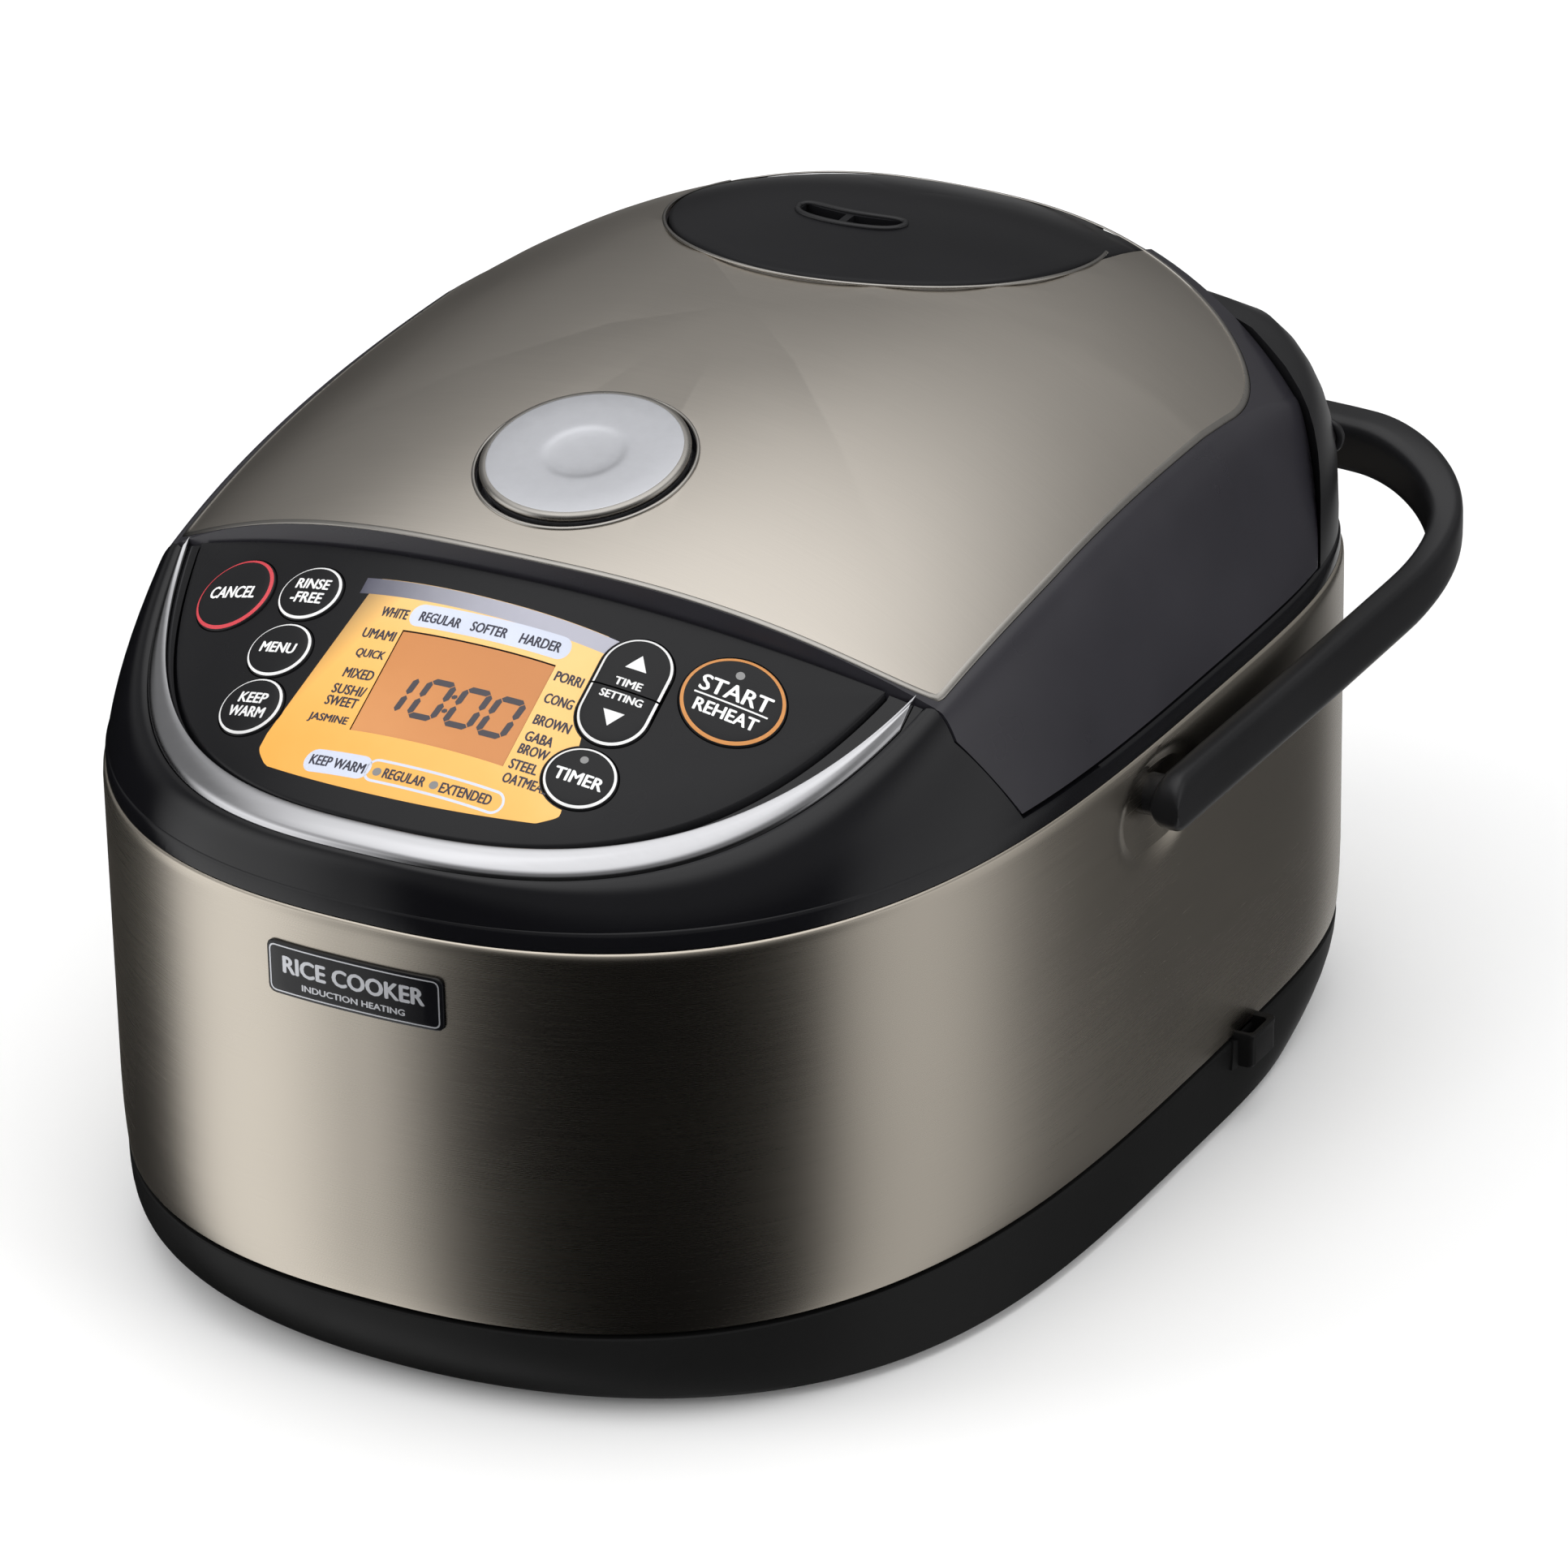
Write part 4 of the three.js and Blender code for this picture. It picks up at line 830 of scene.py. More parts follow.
for key, sign in (("time_up", 1), ("time_down", -1)):
    key_body(key, PILL[0], PILL[1], pill_half, height, sign)
    grid = [put(r[:, 0], r[:, 1], 0.04) for r in (half_rim(1.05, sign), half_rim(0.35, sign))]
    n = len(grid[0])
    band_ob = mesh_piece(f"{key}_key_ring", list(np.concatenate(grid)),
                         [(j, j + 1, n + j + 1, n + j) for j in range(n - 1)])
    finish(band_ob, white_print, f"{key}_button", slot="key_black")
    tip = polygon([(0, 11.6), (3.1, 6.9), (-3.1, 6.9)], 4) * (1, sign)
    patch(f"{key}_arrow", tip, put, white_print, f"{key}_button", "key_black", steps=3)
for text, w, v, body in (("TIME", 8.0, 2.3, "time_up_button"), ("SETTING", 12.4, -2.3, "time_down_button")):
    words(f"{text.lower()}_word", text, w, 2.3, (0, v), put, white_print, body, "key_black", 0.13)

KEY_WORDS = {
    "cancel": [("CANCEL", 17.4, 3.9, 0, 0.2)],
    "rinse": [("RINSE", 11.6, 3.3, 0.3, 2.6), ("-FREE", 11.0, 3.3, 0.3, -2.0)],
    "menu": [("MENU", 12.0, 3.3, 0, 0.2)],
    "keep_warm": [("KEEP", 9.6, 3.3, 0.2, 2.4), ("WARM", 12.2, 3.3, 0.2, -2.2)],
    "timer": [("TIMER", 14.2, 3.6, 0, -0.6)],
    "start": [("START", 20.4, 4.8, 0, 2.2), ("REHEAT", 18.2, 3.7, 0, -4.6)],
}
for key, lines in KEY_WORDS.items():
    x, y, a, b = KEYS[key]
    put = on_key(x, y, dome(a, b))
    for i, (text, w, cap, u, v) in enumerate(lines):
        words(f"{key}_word_{i + 1}", text, w, cap, (u, v), put, white_print, f"{key}_button", "key_black",
              0.17)
x, y, a, b = KEYS["start"]
put = on_key(x, y, dome(a, b))
patch("start_rule", polygon([(-10.6, -1.55), (10.6, -1.55), (10.6, -1.05), (-10.6, -1.05)], 6), put,
      white_print, "start_button", "key_black", steps=2)
patch("start_lamp", oval(1.25, 1.25, 24) + (-1.2, 7.6), put, grey_dot, "start_button", "key_black", steps=3)
x, y, a, b = KEYS["timer"]
patch("timer_lamp", oval(1.15, 1.15, 24) + (-1.0, 5.2), on_key(x, y, dome(a, b)), grey_dot,
      "timer_button", "key_black", steps=3)

# amber window: thin layer over the panel with a painted glow, opened round the keys and the display
TOP_FACE = 1.1


def amber_edges(x):
    top = -122.4 - 0.03 * (x + 44)
    low = -175.5 - 5.6 * (1 - (np.abs(x + 2) / 46) ** 2.2)
    slant = np.clip((x + 45.1) / 9.0, 0, 1)
    top = top - (1 - slant) * 46
    low_side = np.clip((x + 45.2) / 5.0, 0.001, 1) if x < 0 else np.clip((47.4 - x) / 5.0, 0.001, 1)
    top_side = 1.0 if x < 0 else np.clip((47.4 - x) / 11.0, 0.001, 1)
    mid = -171.5
    return mid + (low - mid) * low_side ** 0.5, mid + (top - mid) * top_side


def print_layer(name, xs, edges, top, low, rows=14):
    def section(x):
        a, b = edges(x)
        return on_slope(x, [(a, low), (b, low)] + [(b + (a - b) * k / rows, top) for k in range(rows + 1)])
    return across_x(name, xs, section)


window = print_layer("amber_window", np.concatenate([np.linspace(-45.1, -42, 12), np.linspace(-41, 42, 60),
                                                     np.linspace(42.6, 47.3, 14)]),
                     amber_edges, TOP_FACE + 0.05, TOP_FACE - 0.4)
wide_tools = [key_tool(x, y, oval(a + 0.75, b + 0.75)) for x, y, a, b in KEYS.values()]
wide_tools.append(key_tool(PILL[0], PILL[1], pill_path(PILL[2] + 0.75, PILL[3] + 0.75)))
cut(window, *wide_tools, lcd_body("tool", 0.32, 6, -6))
finish(window, amber, "housing", slot="amber_lcd")


def strip_edges(x):
    return -126.9 - 0.03 * (x + 44), -122.5 - 0.03 * (x + 44)


strip = print_layer("halftone_strip", np.linspace(-40, 40.5, 50), strip_edges, TOP_FACE + 0.07,
                    TOP_FACE - 0.3, 3)
cut(strip, key_tool(*KEYS["rinse"][:2], oval(11.25, 9.85)),
    key_tool(PILL[0], PILL[1], pill_path(PILL[2] + 0.75, PILL[3] + 0.75)))
finish(strip, halftone, "housing", slot="amber_lcd")

LIFT = TOP_FACE + 0.05
for name, outline, hole in (
        ("texture_pill", capsule(49.5, 6.3, 3.6, 0), None),
        ("warm_pill", capsule(20.5, 6.4, -19, -43.1), None),
        ("mode_pill_line", capsule(42.5, 6.4, 10.8, -43.1), capsule(41.1, 5.0, 10.8, -43.1))):
    patch(name, outline / (1, LEAN), on_panel(0, -131.7, LIFT), pale_print, "housing", "amber_lcd",
          hole=None if hole is None else hole / (1, LEAN), lift=0.03)
# word, centre (or left end) across, place along, width, 1 where it starts at its place
MENU_WORDS = [
    ("REGULAR", -11.6, -132.0, 12.8, 0), ("SOFTER", 3.6, -132.0, 11.2, 0),
    ("HARDER", 19.4, -131.9, 12.4, 0), ("WHITE", -25.9, -132.0, 8.6, 0),
    ("UMAMI", -27.2, -138.4, 10.4, 0), ("QUICK", -26.7, -144.2, 9.2, 0),
    ("MIXED", -26.9, -149.9, 9.6, 0), ("SUSHI/", -27.2, -154.6, 10.6, 0),
    ("SWEET", -27.6, -158.0, 10.2, 0), ("JASMINE", -28.9, -163.2, 12.6, 0),
    ("PORRIDGE", 27.8, -138.9, 14.4, 1), ("CONGEE", 28.0, -145.1, 11.4, 1),
    ("BROWN", 28.2, -151.2, 10.8, 1), ("GABA", 28.2, -155.9, 8.2, 1), ("BROWN", 28.2, -159.5, 10.8, 1),
    ("STEEL CUT", 27.9, -163.9, 15.6, 1), ("OATMEAL", 28.0, -167.8, 13.2, 1),
    ("KEEP WARM", -19.0, -174.8, 17.2, 0), ("REGULAR", 1.8, -175.0, 12.8, 0),
    ("EXTENDED", 20.6, -174.9, 15.4, 0),
]
for i, (text, x, y, w, left) in enumerate(MENU_WORDS):
    words(f"menu_word_{i + 1}", text, w, 3.1, (left * w / 2, 0), on_panel(x, y, LIFT), dark_print, "housing",
          "amber_lcd", 0.12, clear=True)
for i, x in enumerate((-6.6, 10.9)):
    patch(f"mode_lamp_{i + 1}", oval(1.3, 1.3, 24), on_panel(x, -175.1, LIFT), grey_dot, "housing",
          "amber_lcd", steps=3)

# seven-segment time on the display
SEGMENTS = {"1": "bc", "0": "abcdef"}
GLASS_TOP = 0.85
bars = []
for digit, x in (("1", -10.0), ("0", -2.2), ("0", 8.9), ("0", 19.2)):
    w, h, t = 7.2, 11.6, 1.9
    where = {"a": (0, h / 2, 0), "d": (0, -h / 2, 0), "b": (w / 2, h / 4, 1), "c": (w / 2, -h / 4, 1),
             "f": (-w / 2, h / 4, 1), "e": (-w / 2, -h / 4, 1)}
    for s in SEGMENTS[digit]:
        u, v, up = where[s]
        length = (h / 2 if up else w) - 0.35
        bar = np.array([(-length / 2, 0), (-length / 2 + t / 2, -t / 2), (length / 2 - t / 2, -t / 2),
                        (length / 2, 0), (length / 2 - t / 2, t / 2), (-length / 2 + t / 2, t / 2)])
        if up:
            bar = bar[:, ::-1]
        bars.append((x, bar + (u if digit == "0" else 0, v)))
for v in (2.4, -2.4):
    bars.append((3.3, oval(0.9, 0.75, 12)[::2] + (0, v)))
for i, (x, bar) in enumerate(bars):
    patch(f"segment_{i + 1}", polygon(bar, 3), on_height(panel_z, x, -153.3, 0.16), segment, "housing",
          "amber_lcd", lift=GLASS_TOP + 0.04, steps=2)


# ---------- badge
BADGE_Z = 124.5


def front_y(x, lift):
    share = (np.abs(x) / (HALF_W + lift)) ** FRONT_POW[0]
    return SPLIT_Y - (FRONT + lift) * (1 - share) ** (1 / FRONT_POW[1])


def badge_outline(w, h, r, count=8):
    out = []
    for sx, sz, a0 in ((1, 1, 0), (-1, 1, 90), (-1, -1, 180), (1, -1, 270)):
        for k in range(count + 1):
            a = math.radians(a0 + 90 * k / count)
            out.append((sx * (w / 2 - r) + r * math.cos(a), sz * (h / 2 - r) + r * math.sin(a)))
    return even(polygon(out, 4), 160)


def badge_ring(w, h, r, lift, k=1):
    o = badge_outline(w, h, r) * k
    return np.column_stack([o[:, 0], front_y(o[:, 0], lift), BADGE_Z + o[:, 1]])


def badge_loft(name, w, h, r, sections):
    """Plate bent round the front wall, from (inset, lift) sections, closed at front and back."""
    first, last = sections[0], sections[-1]
    stack = [(*first, k) for k in (0.3, 0.65)] + [(*q, 1) for q in sections]
    stack += [(*last, k) for k in (0.8, 0.6, 0.4, 0.2)]
    return loft(name, [badge_ring(w - 2 * i, h - 2 * i, max(0.3, r - i), lift, k) for i, lift, k in stack],
                angle=40)


plate = badge_loft("name_plate", 54.4, 15.8, 2.2, [(0, 0.12), (0, 0.55), (0.15, 0.85), (0.5, 1.0)])
finish(plate, gloss, "housing", "badge_plate", slot="silver_plastic")


def on_front(u, v, lift):
    return np.column_stack([u, front_y(u, 1.0 + lift), BADGE_Z + v])


edge_out, edge_in = badge_outline(52.6, 14.0, 1.7), badge_outline(51.8, 13.2, 1.4)
patch("plate_line", edge_out, on_front, silver, "housing", "silver_plastic", hole=edge_in)
words("plate_word_1", "RICE COOKER", 44, 4.9, (0, 1.6), on_front, silver, "housing", "silver_plastic", 0.28)
words("plate_word_2", "INDUCTION HEATING", 32, 1.8, (0, -4.1), on_front, silver, "housing", "silver_plastic")


# ---------- lid
def lid_z(x, y):
    a = np.abs(x)
    edge = plate_side(y)
    out = np.maximum(wall_x(y, 1.4), edge + 1)
    d = np.clip((a - edge) / (out - edge), 0, 1)
    wing = SEAM_Z + (plate_z(edge, y) - SEAM_Z) * (1 - d ** 1.7) ** 0.8
    return np.where(a <= edge, plate_z(x, y), wing)


def mirrored(half):
    half = np.asarray(half, float)
    return np.vstack([half, half[1:-1][::-1] * (-1, 1)])


def lid_outline(grow=0.0, count=480):
    half = [(x, float(plate_front(x)) - grow) for x in np.linspace(0, 119.5 + grow, 60)]
    half += [(float(wall_x(y, 1.4)) + grow, y) for y in np.linspace(-96 - grow, 96, 90)]
    corner = float(wall_x(98, 1.4)) + grow
    for a in np.linspace(0, math.pi / 2, 70):
        half.append((max(0.0, corner * max(0, math.cos(a)) ** 1.25), 98 + (57 + grow) * math.sin(a) ** 1.25))
    half[-1] = (0.0, 155 + grow)
    return even(mirrored(half), count)


def plate_outline(inset=0.0, count=420):
    half = []
    for a in np.linspace(0, math.pi / 2, 60)[:-1]:
        x = (118.6 - inset) * math.sin(a)
        half.append((x, float(plate_front(x)) + inset + 0.4 + 2.4 * (x / 119) ** 14))
    half += [(float(plate_side(y)) - 0.6 - inset, y) for y in np.linspace(-92, 76, 60)]
    for a in np.linspace(0, math.pi / 2, 70):
        half.append(((121.4 - inset) * max(0, math.cos(a)) ** 0.9, 78 + (70 - inset) * math.sin(a) ** 0.96))
    half[-1] = (0.0, 148 - inset)
    return even(mirrored(half), count)


def vent_outline(grow=0.0, count=260):
    r = VENT_R + grow
    pts = [(r * math.cos(a), VENT_Y + r * math.sin(a)) for a in np.linspace(math.pi, 2 * math.pi, 120)]
    xs = np.linspace(63, -63, 61)
    pts += [(x * (1 + grow / 64), float(lid_rear(x)) + grow) for x in xs]
    return even(pts, count)


def sheet_block(name, ys, xs_of, top, low):
    rows = [np.asarray(xs_of(y), float) for y in ys]
    m, n = len(ys), len(rows[0])
    upper = [(x, y, float(z)) for y, xs in zip(ys, rows) for x, z in zip(xs, top(xs, np.full(n, y)))]
    lower = [(x, y, low) for y, xs in zip(ys, rows) for x in xs]
    verts, faces = upper + lower, []
    k = m * n
    for i in range(m - 1):
        for j in range(n - 1):
            a = i * n + j
            faces += [(a, a + 1, a + n + 1, a + n), (k + a, k + a + n, k + a + n + 1, k + a + 1)]
        for j, s in ((0, 1), (n - 1, -1)):
            a = i * n + j
            faces.append((a, a + n, k + a + n, k + a))
    for i in (0, m - 1):
        for j in range(n - 1):
            a = i * n + j
            faces.append((a, a + 1, k + a + 1, k + a))
    return mesh_piece(name, verts, faces)


def lid_xs(y):
    edge = float(plate_side(y))
    out = float(max(wall_x(y, 1.4), edge + 1)) if y < 160 else edge + 1
    half = list(np.linspace(0, edge - 1.5, 26)) + [edge - 0.6, edge, edge + 0.5]
    half += [edge + 0.5 + (out - 0.02 - edge - 0.5) * (1 - (1 - k) ** 2) for k in np.linspace(0, 1, 22)[1:]]
    return [-x for x in half[:0:-1]] + half


def lid_top(x, y):
    return np.maximum(lid_z(x, y), SEAM_Z + 0.01)


lid = sheet_block("lid_cover", np.linspace(-119, 157, 220), lid_xs, lid_top, 120.0)
button_frame = frame_at(plate_z, 0, BUTTON_Y)


def disc(r, z0, z1, count=96, cx=0.0, cy=0.0):
    return turn("tool", [(0, z0), (r, z0), (r, z1), (0, z1)], count, cx, cy)


cut(lid, prism("tool", lid_outline(), 90, 300), mode="INTERSECT")
LID_GAP = 0.9
below = slope([(200, 100), (200, SEAM_Z + LID_GAP), (-78, SEAM_Z + LID_GAP),
               (-150, float(part_z(-150)) + LID_GAP), (-150, 100)])
recess = turn("tool", [(0, 140), (110.8, 140), (110.8, 152.7), (108.8, 152.7), (108.8, 158.1), (0, 158.1)],
              128, 0, POT_Y)
cut(lid, below)
cut(lid, recess)
cut(lid, between("tool", plate_outline(-0.25), (0.3, 0.6, 0.85), lambda x, y: x * 0 + 275,
                 lambda x, y: plate_z(x, y) - 1.15))
cut(lid, between("tool", vent_outline(0.35), (0.3, 0.65), lambda x, y: x * 0 + 275,
                 lambda x, y: plate_z(x, y) - 7.5, centre=(0, 108)))
cut(lid, place(disc(BUTTON_R + 1.2, -9, 20), button_frame), place(disc(7, -24, 0, 48), button_frame))
cut(lid, disc(9.3, 120, 260, 64, 0, 104), block("tool", 16, 14, 30, 0, -90, 176))
cut(lid, block("tool", 11, 60, 50, 51, 150, 213), block("tool", 11, 60, 50, -51, 150, 213))
cut(lid, block("tool", 200, 60, 20, 0, 140, 142.3), rod("tool", 3.3, -90, 90, HINGE_Y, HINGE_Z))
finish(lid, lid_black, "lid", "lid_shell", slot="gloss_black")

LIP = [(0, 1.0), (0, 0.55), (0.12, 0.2), (0.4, 0.02), (0.9, 0)]
lid_sheet = between("lid_steel", plate_outline(), (0.25, 0.5, 0.7, 0.82, 0.9, 0.95), plate_z,
                    lambda x, y: plate_z(x, y) - 1, edge=LIP)
cut(lid_sheet, place(disc(BUTTON_R + 1.6, -12, 20), button_frame), prism("tool", vent_outline(0.9), 150, 275))
finish(lid_sheet, steel_lid, "lid", "lid_plate", slot="brushed_steel")

# rolled lips of the plate round the button, the vent and its own edge, in a darker copy of the steel as
# painted shade
def bead(half_w, half_h, lift):
    return oval(half_w, half_h, 12) + (0, lift)


BEAD = bead(0.55, 0.42, 0.16)
well = oval(BUTTON_R + 1.9, BUTTON_R + 1.9, 128)
ring_pts = []
for (u, v), (nu, nv) in zip(well, normals_of(well)):
    p = moved(button_frame, u + nu * BEAD[:, 0], v + nv * BEAD[:, 0], np.zeros(len(BEAD)))
    ring_pts.append(lay(p, plate_z(p[:, 0], p[:, 1]) + BEAD[:, 1]))
finish(loft("button_lip", ring_pts, wrapped=True, angle=60), darkened_steel_edge, "lid", slot="brushed_steel")
vent_ring = []
for a in np.radians(np.linspace(164, 376, 150)):
    r = VENT_R + 1.2 + BEAD[:, 0]
    x, y = r * math.cos(a), VENT_Y + r * math.sin(a)
    vent_ring.append(np.column_stack([x, y, plate_z(x, y) + BEAD[:, 1]]))
finish(loft("vent_lip", vent_ring, angle=60), darkened_steel_edge, "lid", slot="brushed_steel")
path = plate_outline(0.7)
finish(rim("plate_lip", path, normals_of(path), plate_z, bead(0.8, 0.34, 0.02)), darkened_steel_edge, "lid",
       slot="brushed_steel")

# open button: polished rim, satin face and a dished thumb disc
profile = [(0, -5.6), (26, -5.6), (27.6, -4.6), (29, -2), (29, 0.2), (28.85, 0.75), (28.4, 1.2),
           (27.7, 1.5), (26.8, 1.6), (20, 1.75), (14.5, 1.8), (13, 1.79), (12.2, 1.77), (11.4, 1.7),
           (10.6, 1.6), (9.6, 1.52), (7, 1.44), (4, 1.4), (0, 1.39)]
finish(place(turn("push_disc", profile, 128, angle=40), button_frame), silver, "open_button", "open_button",
       slot="silver_plastic")
edge_ring = [(29.02, -0.6), (29.25, 0.1), (29.1, 0.9), (28.6, 1.42), (27.9, 1.66), (27.3, 1.66),
             (27.4, 1.2), (28.4, 0.2)]
finish(place(turn("push_disc_edge", edge_ring, 128, angle=60), button_frame), darkened_steel_edge, "open_button",
       slot="silver_plastic")


# vent cover: satin body with a raised rim round two openings
def slot_line(side, grow=0.0, count=14):
    x = side * (1.2 - grow + (14.4 + 2 * grow) * np.linspace(0, 1, count))
    return np.column_stack([x, 76.4 + 0.012 * x * x])


def slot_path(side, half=2.6, grow=0.0):
    l = slot_line(side, grow)
    return np.vstack([l - (0, half), (l + (0, half))[::-1]])


VENT_EDGE = [(0, 1.7), (0.12, 1.0), (0.45, 0.45), (0.95, 0.14), (1.7, 0)]
vent = between("steam_cap", vent_outline(), (0.15, 0.3, 0.45, 0.6, 0.72, 0.82, 0.9, 0.95), vent_z,
               lambda x, y: plate_z(x, y) - 7.1, centre=(0, 108), edge=VENT_EDGE)
cut(vent, between("tool", vent_outline(-2.4), (0.5, 0.75), lambda x, y: vent_z(x, y) - 3.2,
                  lambda x, y: plate_z(x, y) - 12, centre=(0, 108)))
cut(vent, prism("tool", slot_path(1), 200, 275), prism("tool", slot_path(-1), 200, 275),
    block("tool", 11, 20, 60, 51, 153.5, 225), block("tool", 11, 20, 60, -51, 153.5, 225))
finish(vent, steam_black, "vent_cover", "vent_cover", slot="gloss_black")
def kidney_side(side, ks):
    return [(k * 17.2, 76.4 + 0.012 * (k * 17.2) ** 2 + side * 4.4 * (1 - abs(k) ** 6) ** 0.5) for k in ks]


kidney = kidney_side(-1, np.linspace(-1, 1, 40)) + kidney_side(1, np.linspace(1, -1, 40)[1:-1])
kidney = even(kidney, 120)
finish(rim("steam_cap_rim", kidney, normals_of(kidney), vent_z, bead(0.9, 0.75, 0.1)), satin_black,
       "vent_cover", slot="gloss_black")

# ---------- hinge cover behind the lid
TR = wall_params(400)
rx, ry = wall_xy(TR, 1.5)
keep = ry > 60
order = np.argsort(np.arctan2(ry[keep] - SPLIT_Y, rx[keep]))
rear_wall = np.column_stack([rx[keep], ry[keep]])[order]
across = np.linspace(rear_wall[-1, 0] + 4, rear_wall[0, 0] - 4, 40)
rear_wall = np.vstack([rear_wall, [(x, 60.2) for x in across]])
hinge = between("rear_cover", rear_wall, (0.3, 0.6, 0.8, 0.88, 0.92, 0.945, 0.965, 0.98, 0.989, 0.995),
                cover_z, lambda x, y: x * 0 + SEAM_Z - 0.05, centre=(0, 110))
cut(hinge, prism("tool", lid_outline(0.8), 100, 300))
pocket = slope([(100, 120), (161, 120), (161, 196), (100, 196)], -40, 40)
wx, wy = wall_xy(TR, 6)
cut(pocket, prism("tool", np.column_stack([wx, wy]), 110, 310), mode="INTERSECT")
cut(pocket, prism("tool", lid_outline(0.8), 100, 300))
cut(hinge, pocket)
ear_shape = [(146, 190), (166, 190), (166, 200), (154, 213.2), (147, 213.2), (143.5, 210), (143.5, 200)]
cut(hinge, slope(ear_shape, 47, 55), slope(ear_shape, -55, -47), mode="UNION")
cut(hinge, rod("tool", 2.8, -90, 90, HINGE_Y, HINGE_Z))
finish(hinge, satin_black, "housing", "hinge_cover", slot="gloss_black")
arc = np.linspace(math.radians(-66), math.radians(246), 40)
clip_rings = []
for a in arc:
    clip_rings.append([(123.8 + (4.2 + 1.3 * math.cos(b)) * math.cos(a), 136 + 1.3 * math.sin(b),
                        175 + (4.2 + 1.3 * math.cos(b)) * math.sin(a))
                       for b in np.linspace(0, 2 * math.pi, 16, endpoint=False)])
finish(loft("holder_clip", clip_rings, angle=60), satin_black, "housing", slot="gloss_black")

# ---------- handle
GRIP_Z, GRIP_RISE, GRIP_H = 127, 20.5, 17.5
ARM_X, ARM_T, BAR_T, BAR_Y = 148.2, 8.4, 15, 195
BEND_Y, BEND_P = 100, 7


def grip_at(t):
    if t <= 0.4:
        return ARM_X, PIVOT_Y + (BEND_Y - PIVOT_Y) * (t / 0.4), 0.0, 1.0
    a = ((t - 0.4) / 0.6) * (math.pi / 2)
    u, v = max(0, math.cos(a)) ** (2 / BEND_P), max(0, math.sin(a)) ** (2 / BEND_P)
    gx, gy = u ** (BEND_P - 1) / ARM_X, v ** (BEND_P - 1) / (BAR_Y - BEND_Y)
    l = math.hypot(gx, gy)
    return ARM_X * u, BEND_Y + (BAR_Y - BEND_Y) * v, -gy / l, gx / l


def grip_section(t, squeeze=1.0, shift=0.0):
    x, y, dx, dy = grip_at(t)
    thick = (ARM_T + (BAR_T - ARM_T) * float(smooth((t - 0.4) / 0.45))) / 2
    h = GRIP_H / 2 * squeeze
    z = GRIP_Z + (PIVOT_Z - GRIP_Z) * (1 - min(1, t / 0.3)) \
        + GRIP_RISE * float(smooth((0.5 * (y - 135) + 0.8 * (ARM_X - x)) / 60))
    pts = []
    for b in np.linspace(0, 2 * math.pi, 40, endpoint=False):
        c, s = math.cos(b), math.sin(b)
        o = thick * np.sign(c) * abs(c) ** (2 / 3.4)
        v = h * np.sign(s) * abs(s) ** (2 / 3.8)
        pts.append((x + dy * o, y + shift - dx * o, z + v))
    return pts


ends = [(0.1, -8.35), (0.3, -8.15), (0.45, -7.8), (0.6, -7.1), (0.72, -6.2), (0.83, -5.0), (0.91, -3.8),
        (0.96, -2.4)]
ts = list(np.linspace(0, 0.4, 14)) + list(np.linspace(0.41, 0.9, 60)) + [0.92, 0.94, 0.96, 0.975, 0.985]
half_grip = [grip_section(0, q, d) for q, d in ends] + [grip_section(t) for t in ts]
flip = [[(-x, y, z) for x, y, z in ring] for ring in half_grip[::-1]]
mid = [(0, y, z) for _, y, z in grip_section(1)]
handle = loft("carry_handle", half_grip + [mid] + flip)
for side in (1, -1):
    cut(handle, rod("tool", 6, side * 124.5, side * 147, PIVOT_Y, PIVOT_Z), mode="UNION")
finish(handle, satin_black, "handle", "handle", slot="gloss_black")
for side, label in ((1, "right"), (-1, "left")):
    prof = [(6.3, 0), (10.6, 0), (11.6, 0.4), (12, 1.1), (11.9, 1.7), (11.4, 2.05), (9.6, 2.1), (8.95, 2.6),
            (8.9, 7.6), (8.5, 8), (6.7, 8), (6.3, 7.6)]
    ob = turn(f"pivot_collar_{label}", prof, 64)
    turnm = Matrix.Rotation(side * math.pi / 2, 4, "Y")
    place(ob, Matrix.Translation((side * 0.1316, PIVOT_Y * 0.001, PIVOT_Z * 0.001)) @ turnm)
    finish(ob, matte_black, "housing", f"pivot_bushing_{label}", slot="matte_black")

# ---------- cooking parts seen with the lid open
pot = turn("cooking_bowl", [
    (0, 38.5), (70, 38.5), (82, 38.9), (90, 41.2), (97, 45.4), (102, 51), (104.8, 58), (105.5, 66),
    (105.5, 149.9), (109.1, 149.9), (109.5, 150.3), (109.5, 151.2), (109.1, 151.6), (104.6, 151.6),
    (103.9, 151.2), (103.7, 150.4), (103.7, 66), (102.8, 58.4), (99.8, 51.8), (95, 46.4), (89, 42.8),
    (81, 40.7), (70, 40.4), (0, 40.4)], 160, 0, POT_Y)
finish(pot, nonstick, "housing", "inner_pot", slot="nonstick_pot")
MARK_R, MARK_AT = 103.62, math.radians(262)
for i in range(2, 11, 2):
    z = 62 + 7.4 * i
    verts = [(MARK_R * math.cos(a), POT_Y + MARK_R * math.sin(a), h) for h in (z - 0.3, z + 0.3)
             for a in np.linspace(MARK_AT - 0.05, MARK_AT + 0.05, 8)]
    finish(mesh_piece(f"level_mark_{i}", verts, [(j, j + 1, 9 + j, 8 + j) for j in range(7)]), white_print,
           "housing", slot="nonstick_pot")
well_ob = turn("heating_well", [
    (12.5, 33.4), (85, 33.4), (96, 37.2), (103.4, 42), (108, 50), (110, 60), (110, 143), (107.8, 143),
    (107.8, 60.4), (106.2, 52), (101.8, 43.8), (95, 39.3), (84.6, 35.4), (12.5, 35.4)], 128, 0, POT_Y)
finish(well_ob, inner_grey, "housing", "pot_well", slot="inner_plastic")
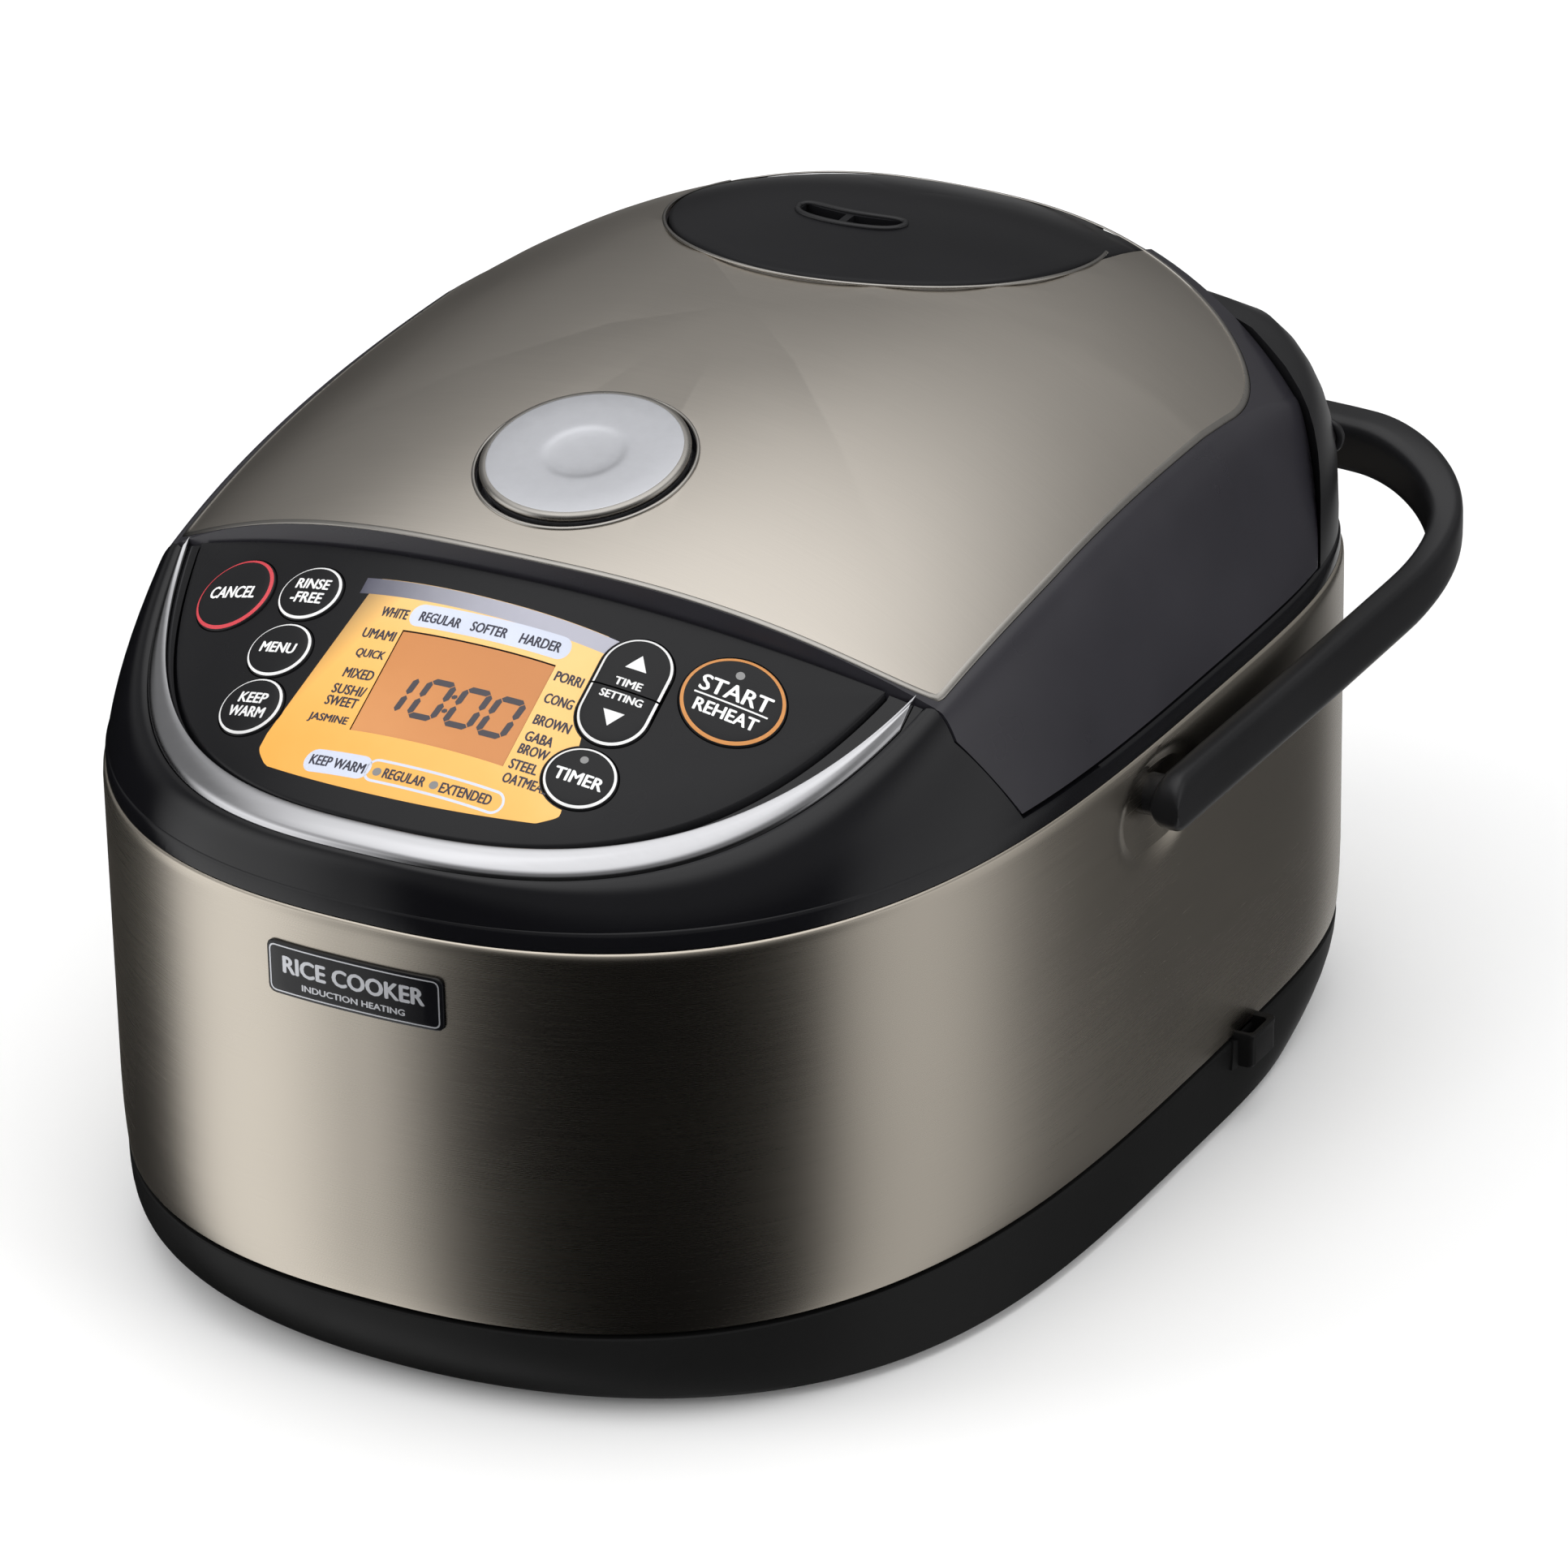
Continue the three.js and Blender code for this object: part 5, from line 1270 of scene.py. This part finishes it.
plate_in = turn("inner_lid_disc", [
    (0, 154), (60, 154.1), (94, 154), (96, 153.7), (97.2, 152.6), (98.2, 152.2), (104.1, 152.2),
    (104.6, 152.6), (104.6, 155.2), (104.2, 155.6), (0, 155.6)], 128, 0, POT_Y)
cut(plate_in, disc(6.2, 150, 170, 48, 0, 104), disc(8.2, 150, 170, 48, 30, 10))
finish(plate_in, alloy, "lid", "inner_lid", slot="bare_aluminium")
seal = turn("lid_seal", [
    (97.8, 149.6), (98.2, 149.2), (99, 149.5), (99.6, 150.1), (100.2, 149.5), (101, 149.2),
    (101.4, 149.6), (101.4, 151.6), (101.1, 151.9), (98.1, 151.9), (97.8, 151.6)], 128, 0, POT_Y)
finish(seal, silicone, "lid", "lid_gasket", slot="silicone")
liner = turn("lid_lining", [
    (0, 156.4), (108.1, 156.4), (108.5, 156.7), (108.5, 157.7), (108.1, 158), (0, 158)], 128, 0, POT_Y)
cut(liner, disc(8.9, 150, 170, 48, 0, 104))
finish(liner, alloy, "lid", "lid_liner", slot="bare_aluminium")
valve = turn("valve_cap", [
    (0, 151), (6.6, 151), (7.3, 151.3), (7.6, 152), (7.6, 155.8), (7.3, 156.1), (0, 156.1)], 48, 30, 10)
finish(valve, dull_steel, "lid", "pressure_valve", slot="steel_pin")

# ---------- CAD parts that keep their own shape
KEEP = {
    "latch_hook": inner_grey, "latch_catch": dull_steel, "latch_pin": dull_steel, "steam_duct": inner_grey,
    "hinge_pin": dull_steel, "bottom_coil": copper, "side_coil": copper, "coil_carrier": inner_grey,
    "sensor_guide": inner_grey, "thermal_sensor": alloy, "control_board": solder, "power_board": solder,
    "heat_sink": alloy, "fan_frame": matte_black, "fan_impeller": matte_black, "reel_housing": inner_grey,
    "reel_drum": matte_black, "cord_outlet": rubber,
}
for name, material in KEEP.items():
    ob = nodes[name]
    for i in range(max(1, len(ob.material_slots))):
        if not ob.material_slots:
            ob.data.materials.append(material)
        ob.material_slots[i].material = material

# ---------- stage, light and camera
floor_mat, floor_tree, floor_shader = nodes_for("studio_floor", 0.0, 0.55, (0.86, 0.86, 0.86))
floor_tree.links.new(tint(floor_tree, noise_at(floor_tree, 1.5, (1, 1, 1), 2, 0.5), (0.9, 0.9, 0.9),
                          (0.93, 0.93, 0.93)), floor_shader.inputs["Base Color"])
# the floor brightens with distance, so that it meets the white surround without a line
away = node(floor_tree, "VectorMath", {0: node(floor_tree, "TexCoord").outputs["Object"]}, operation="LENGTH")
floor_shader.inputs["Emission Color"].default_value = (1, 1, 1, 1)
floor_tree.links.new(spread(floor_tree, away.outputs["Value"], 0.05, 0.5, 0.4, 2.4),
                     floor_shader.inputs["Emission Strength"])
me = bpy.data.meshes.new("studio_floor")
me.from_pydata(lay(oval(9, 9, 48), 0).tolist(), [], [list(range(48))])
floor = link("studio_floor", me)
me.materials.append(floor_mat)
me.shade_smooth()
floor.visible_glossy = False


for name, at, target, wide, tall, power in (
        ("overhead", (0.1, -0.2, 2.2), (0, 0, 0.1), 2.2, 2.2, 27),
        ("left_key", (-1.7, -1.2, 1.2), (0, -0.05, 0.12), 1.0, 1.6, 14),
        ("right_fill", (2.0, -0.3, 0.9), (0, 0, 0.12), 0.9, 1.4, 10)):
    data = bpy.data.lights.new(name, "AREA")
    data.shape, data.size, data.size_y, data.energy = "RECTANGLE", wide, tall, power
    ob = link(name, data)
    ob.location = at
    ob.visible_glossy = False
    ob.rotation_euler = (Vector(target) - ob.location).to_track_quat("-Z", "Y").to_euler()

# studio surround: white to the camera; in reflections, a bright ceiling and tall softboxes by azimuth
world = bpy.data.worlds.new("studio")
bpy.context.scene.world = world
world.use_nodes = True
wt = world.node_tree


def wmath(op, a, b):
    return combine(wt, a, b, op)


def wrange(source, low, high, to_low, to_high):
    return spread(wt, source, to_low, to_high, low, high, "SMOOTHSTEP")


where_to = node(wt, "TexCoord").outputs["Generated"]
level = node(wt, "SeparateXYZ", {0: where_to}).outputs["Z"]
flat = node(wt, "VectorMath", {0: where_to, 1: (1, 1, 0)}, operation="MULTIPLY").outputs[0]
unit = node(wt, "VectorMath", {0: flat}, operation="NORMALIZE").outputs[0]


def tall_box(azimuth, inner, outer, power):
    """Soft upright light at an azimuth: full inside the inner angle, none outside the outer one."""
    a = math.radians(azimuth)
    toward = {0: unit, 1: (math.sin(a), -math.cos(a), 0)}
    near = node(wt, "VectorMath", toward, operation="DOT_PRODUCT").outputs["Value"]
    return wrange(near, math.cos(math.radians(outer)), math.cos(math.radians(inner)), 0, power)


boxes = wmath("ADD", tall_box(-54, 4, 34, 1.12), tall_box(110, 3, 28, 0.64))
boxes = wmath("ADD", boxes, tall_box(152, 2, 32, 0.05))
boxes = wmath("MULTIPLY", boxes, wrange(level, 0.15, 0.6, 1, 0.25))
rear = wmath("MULTIPLY", tall_box(192, 6, 26, 0.5), wrange(level, -0.2, 0.0, 1, 0))
ceiling = wmath("ADD", wrange(level, 0.56, 0.95, 0, 1.08), wrange(level, -0.05, 0.3, 0.004, 0.21))
mirror = wmath("ADD", wmath("ADD", boxes, rear), ceiling)
rays = node(wt, "LightPath").outputs
light = wmath("ADD", 0.7, wmath("MULTIPLY", rays["Is Glossy Ray"], wmath("SUBTRACT", mirror, 0.7)))
light = wmath("ADD", light, wmath("MULTIPLY", rays["Is Camera Ray"], wmath("SUBTRACT", 1.0, light)))
backdrop = wt.nodes["Background"]
backdrop.inputs["Color"].default_value = (1, 1, 1, 1)
wt.links.new(light, backdrop.inputs["Strength"])

cam_az, cam_el, cam_roll = math.radians(29.2725), math.radians(26.0786), math.radians(-1.1692)
back = Vector((math.sin(cam_az) * math.cos(cam_el), -math.cos(cam_az) * math.cos(cam_el), math.sin(cam_el)))
right = Vector((math.cos(cam_az), math.sin(cam_az), 0))
up = back.cross(right)
R = right * math.cos(cam_roll) + up * math.sin(cam_roll)
U = up * math.cos(cam_roll) - right * math.sin(cam_roll)
spot = Vector((0.002859, 0.028379, 0.083888)) + back * 2.373672
camera_data = bpy.data.cameras.new("photo_camera")
camera_data.sensor_width = 36
camera_data.lens = 188.86
camera = link("photo_camera", camera_data)
camera.matrix_world = Matrix(((R.x, U.x, back.x, spot.x), (R.y, U.y, back.y, spot.y),
                              (R.z, U.z, back.z, spot.z), (0, 0, 0, 1)))
bpy.context.scene.camera = camera
bpy.context.scene.view_settings.view_transform = "Standard"
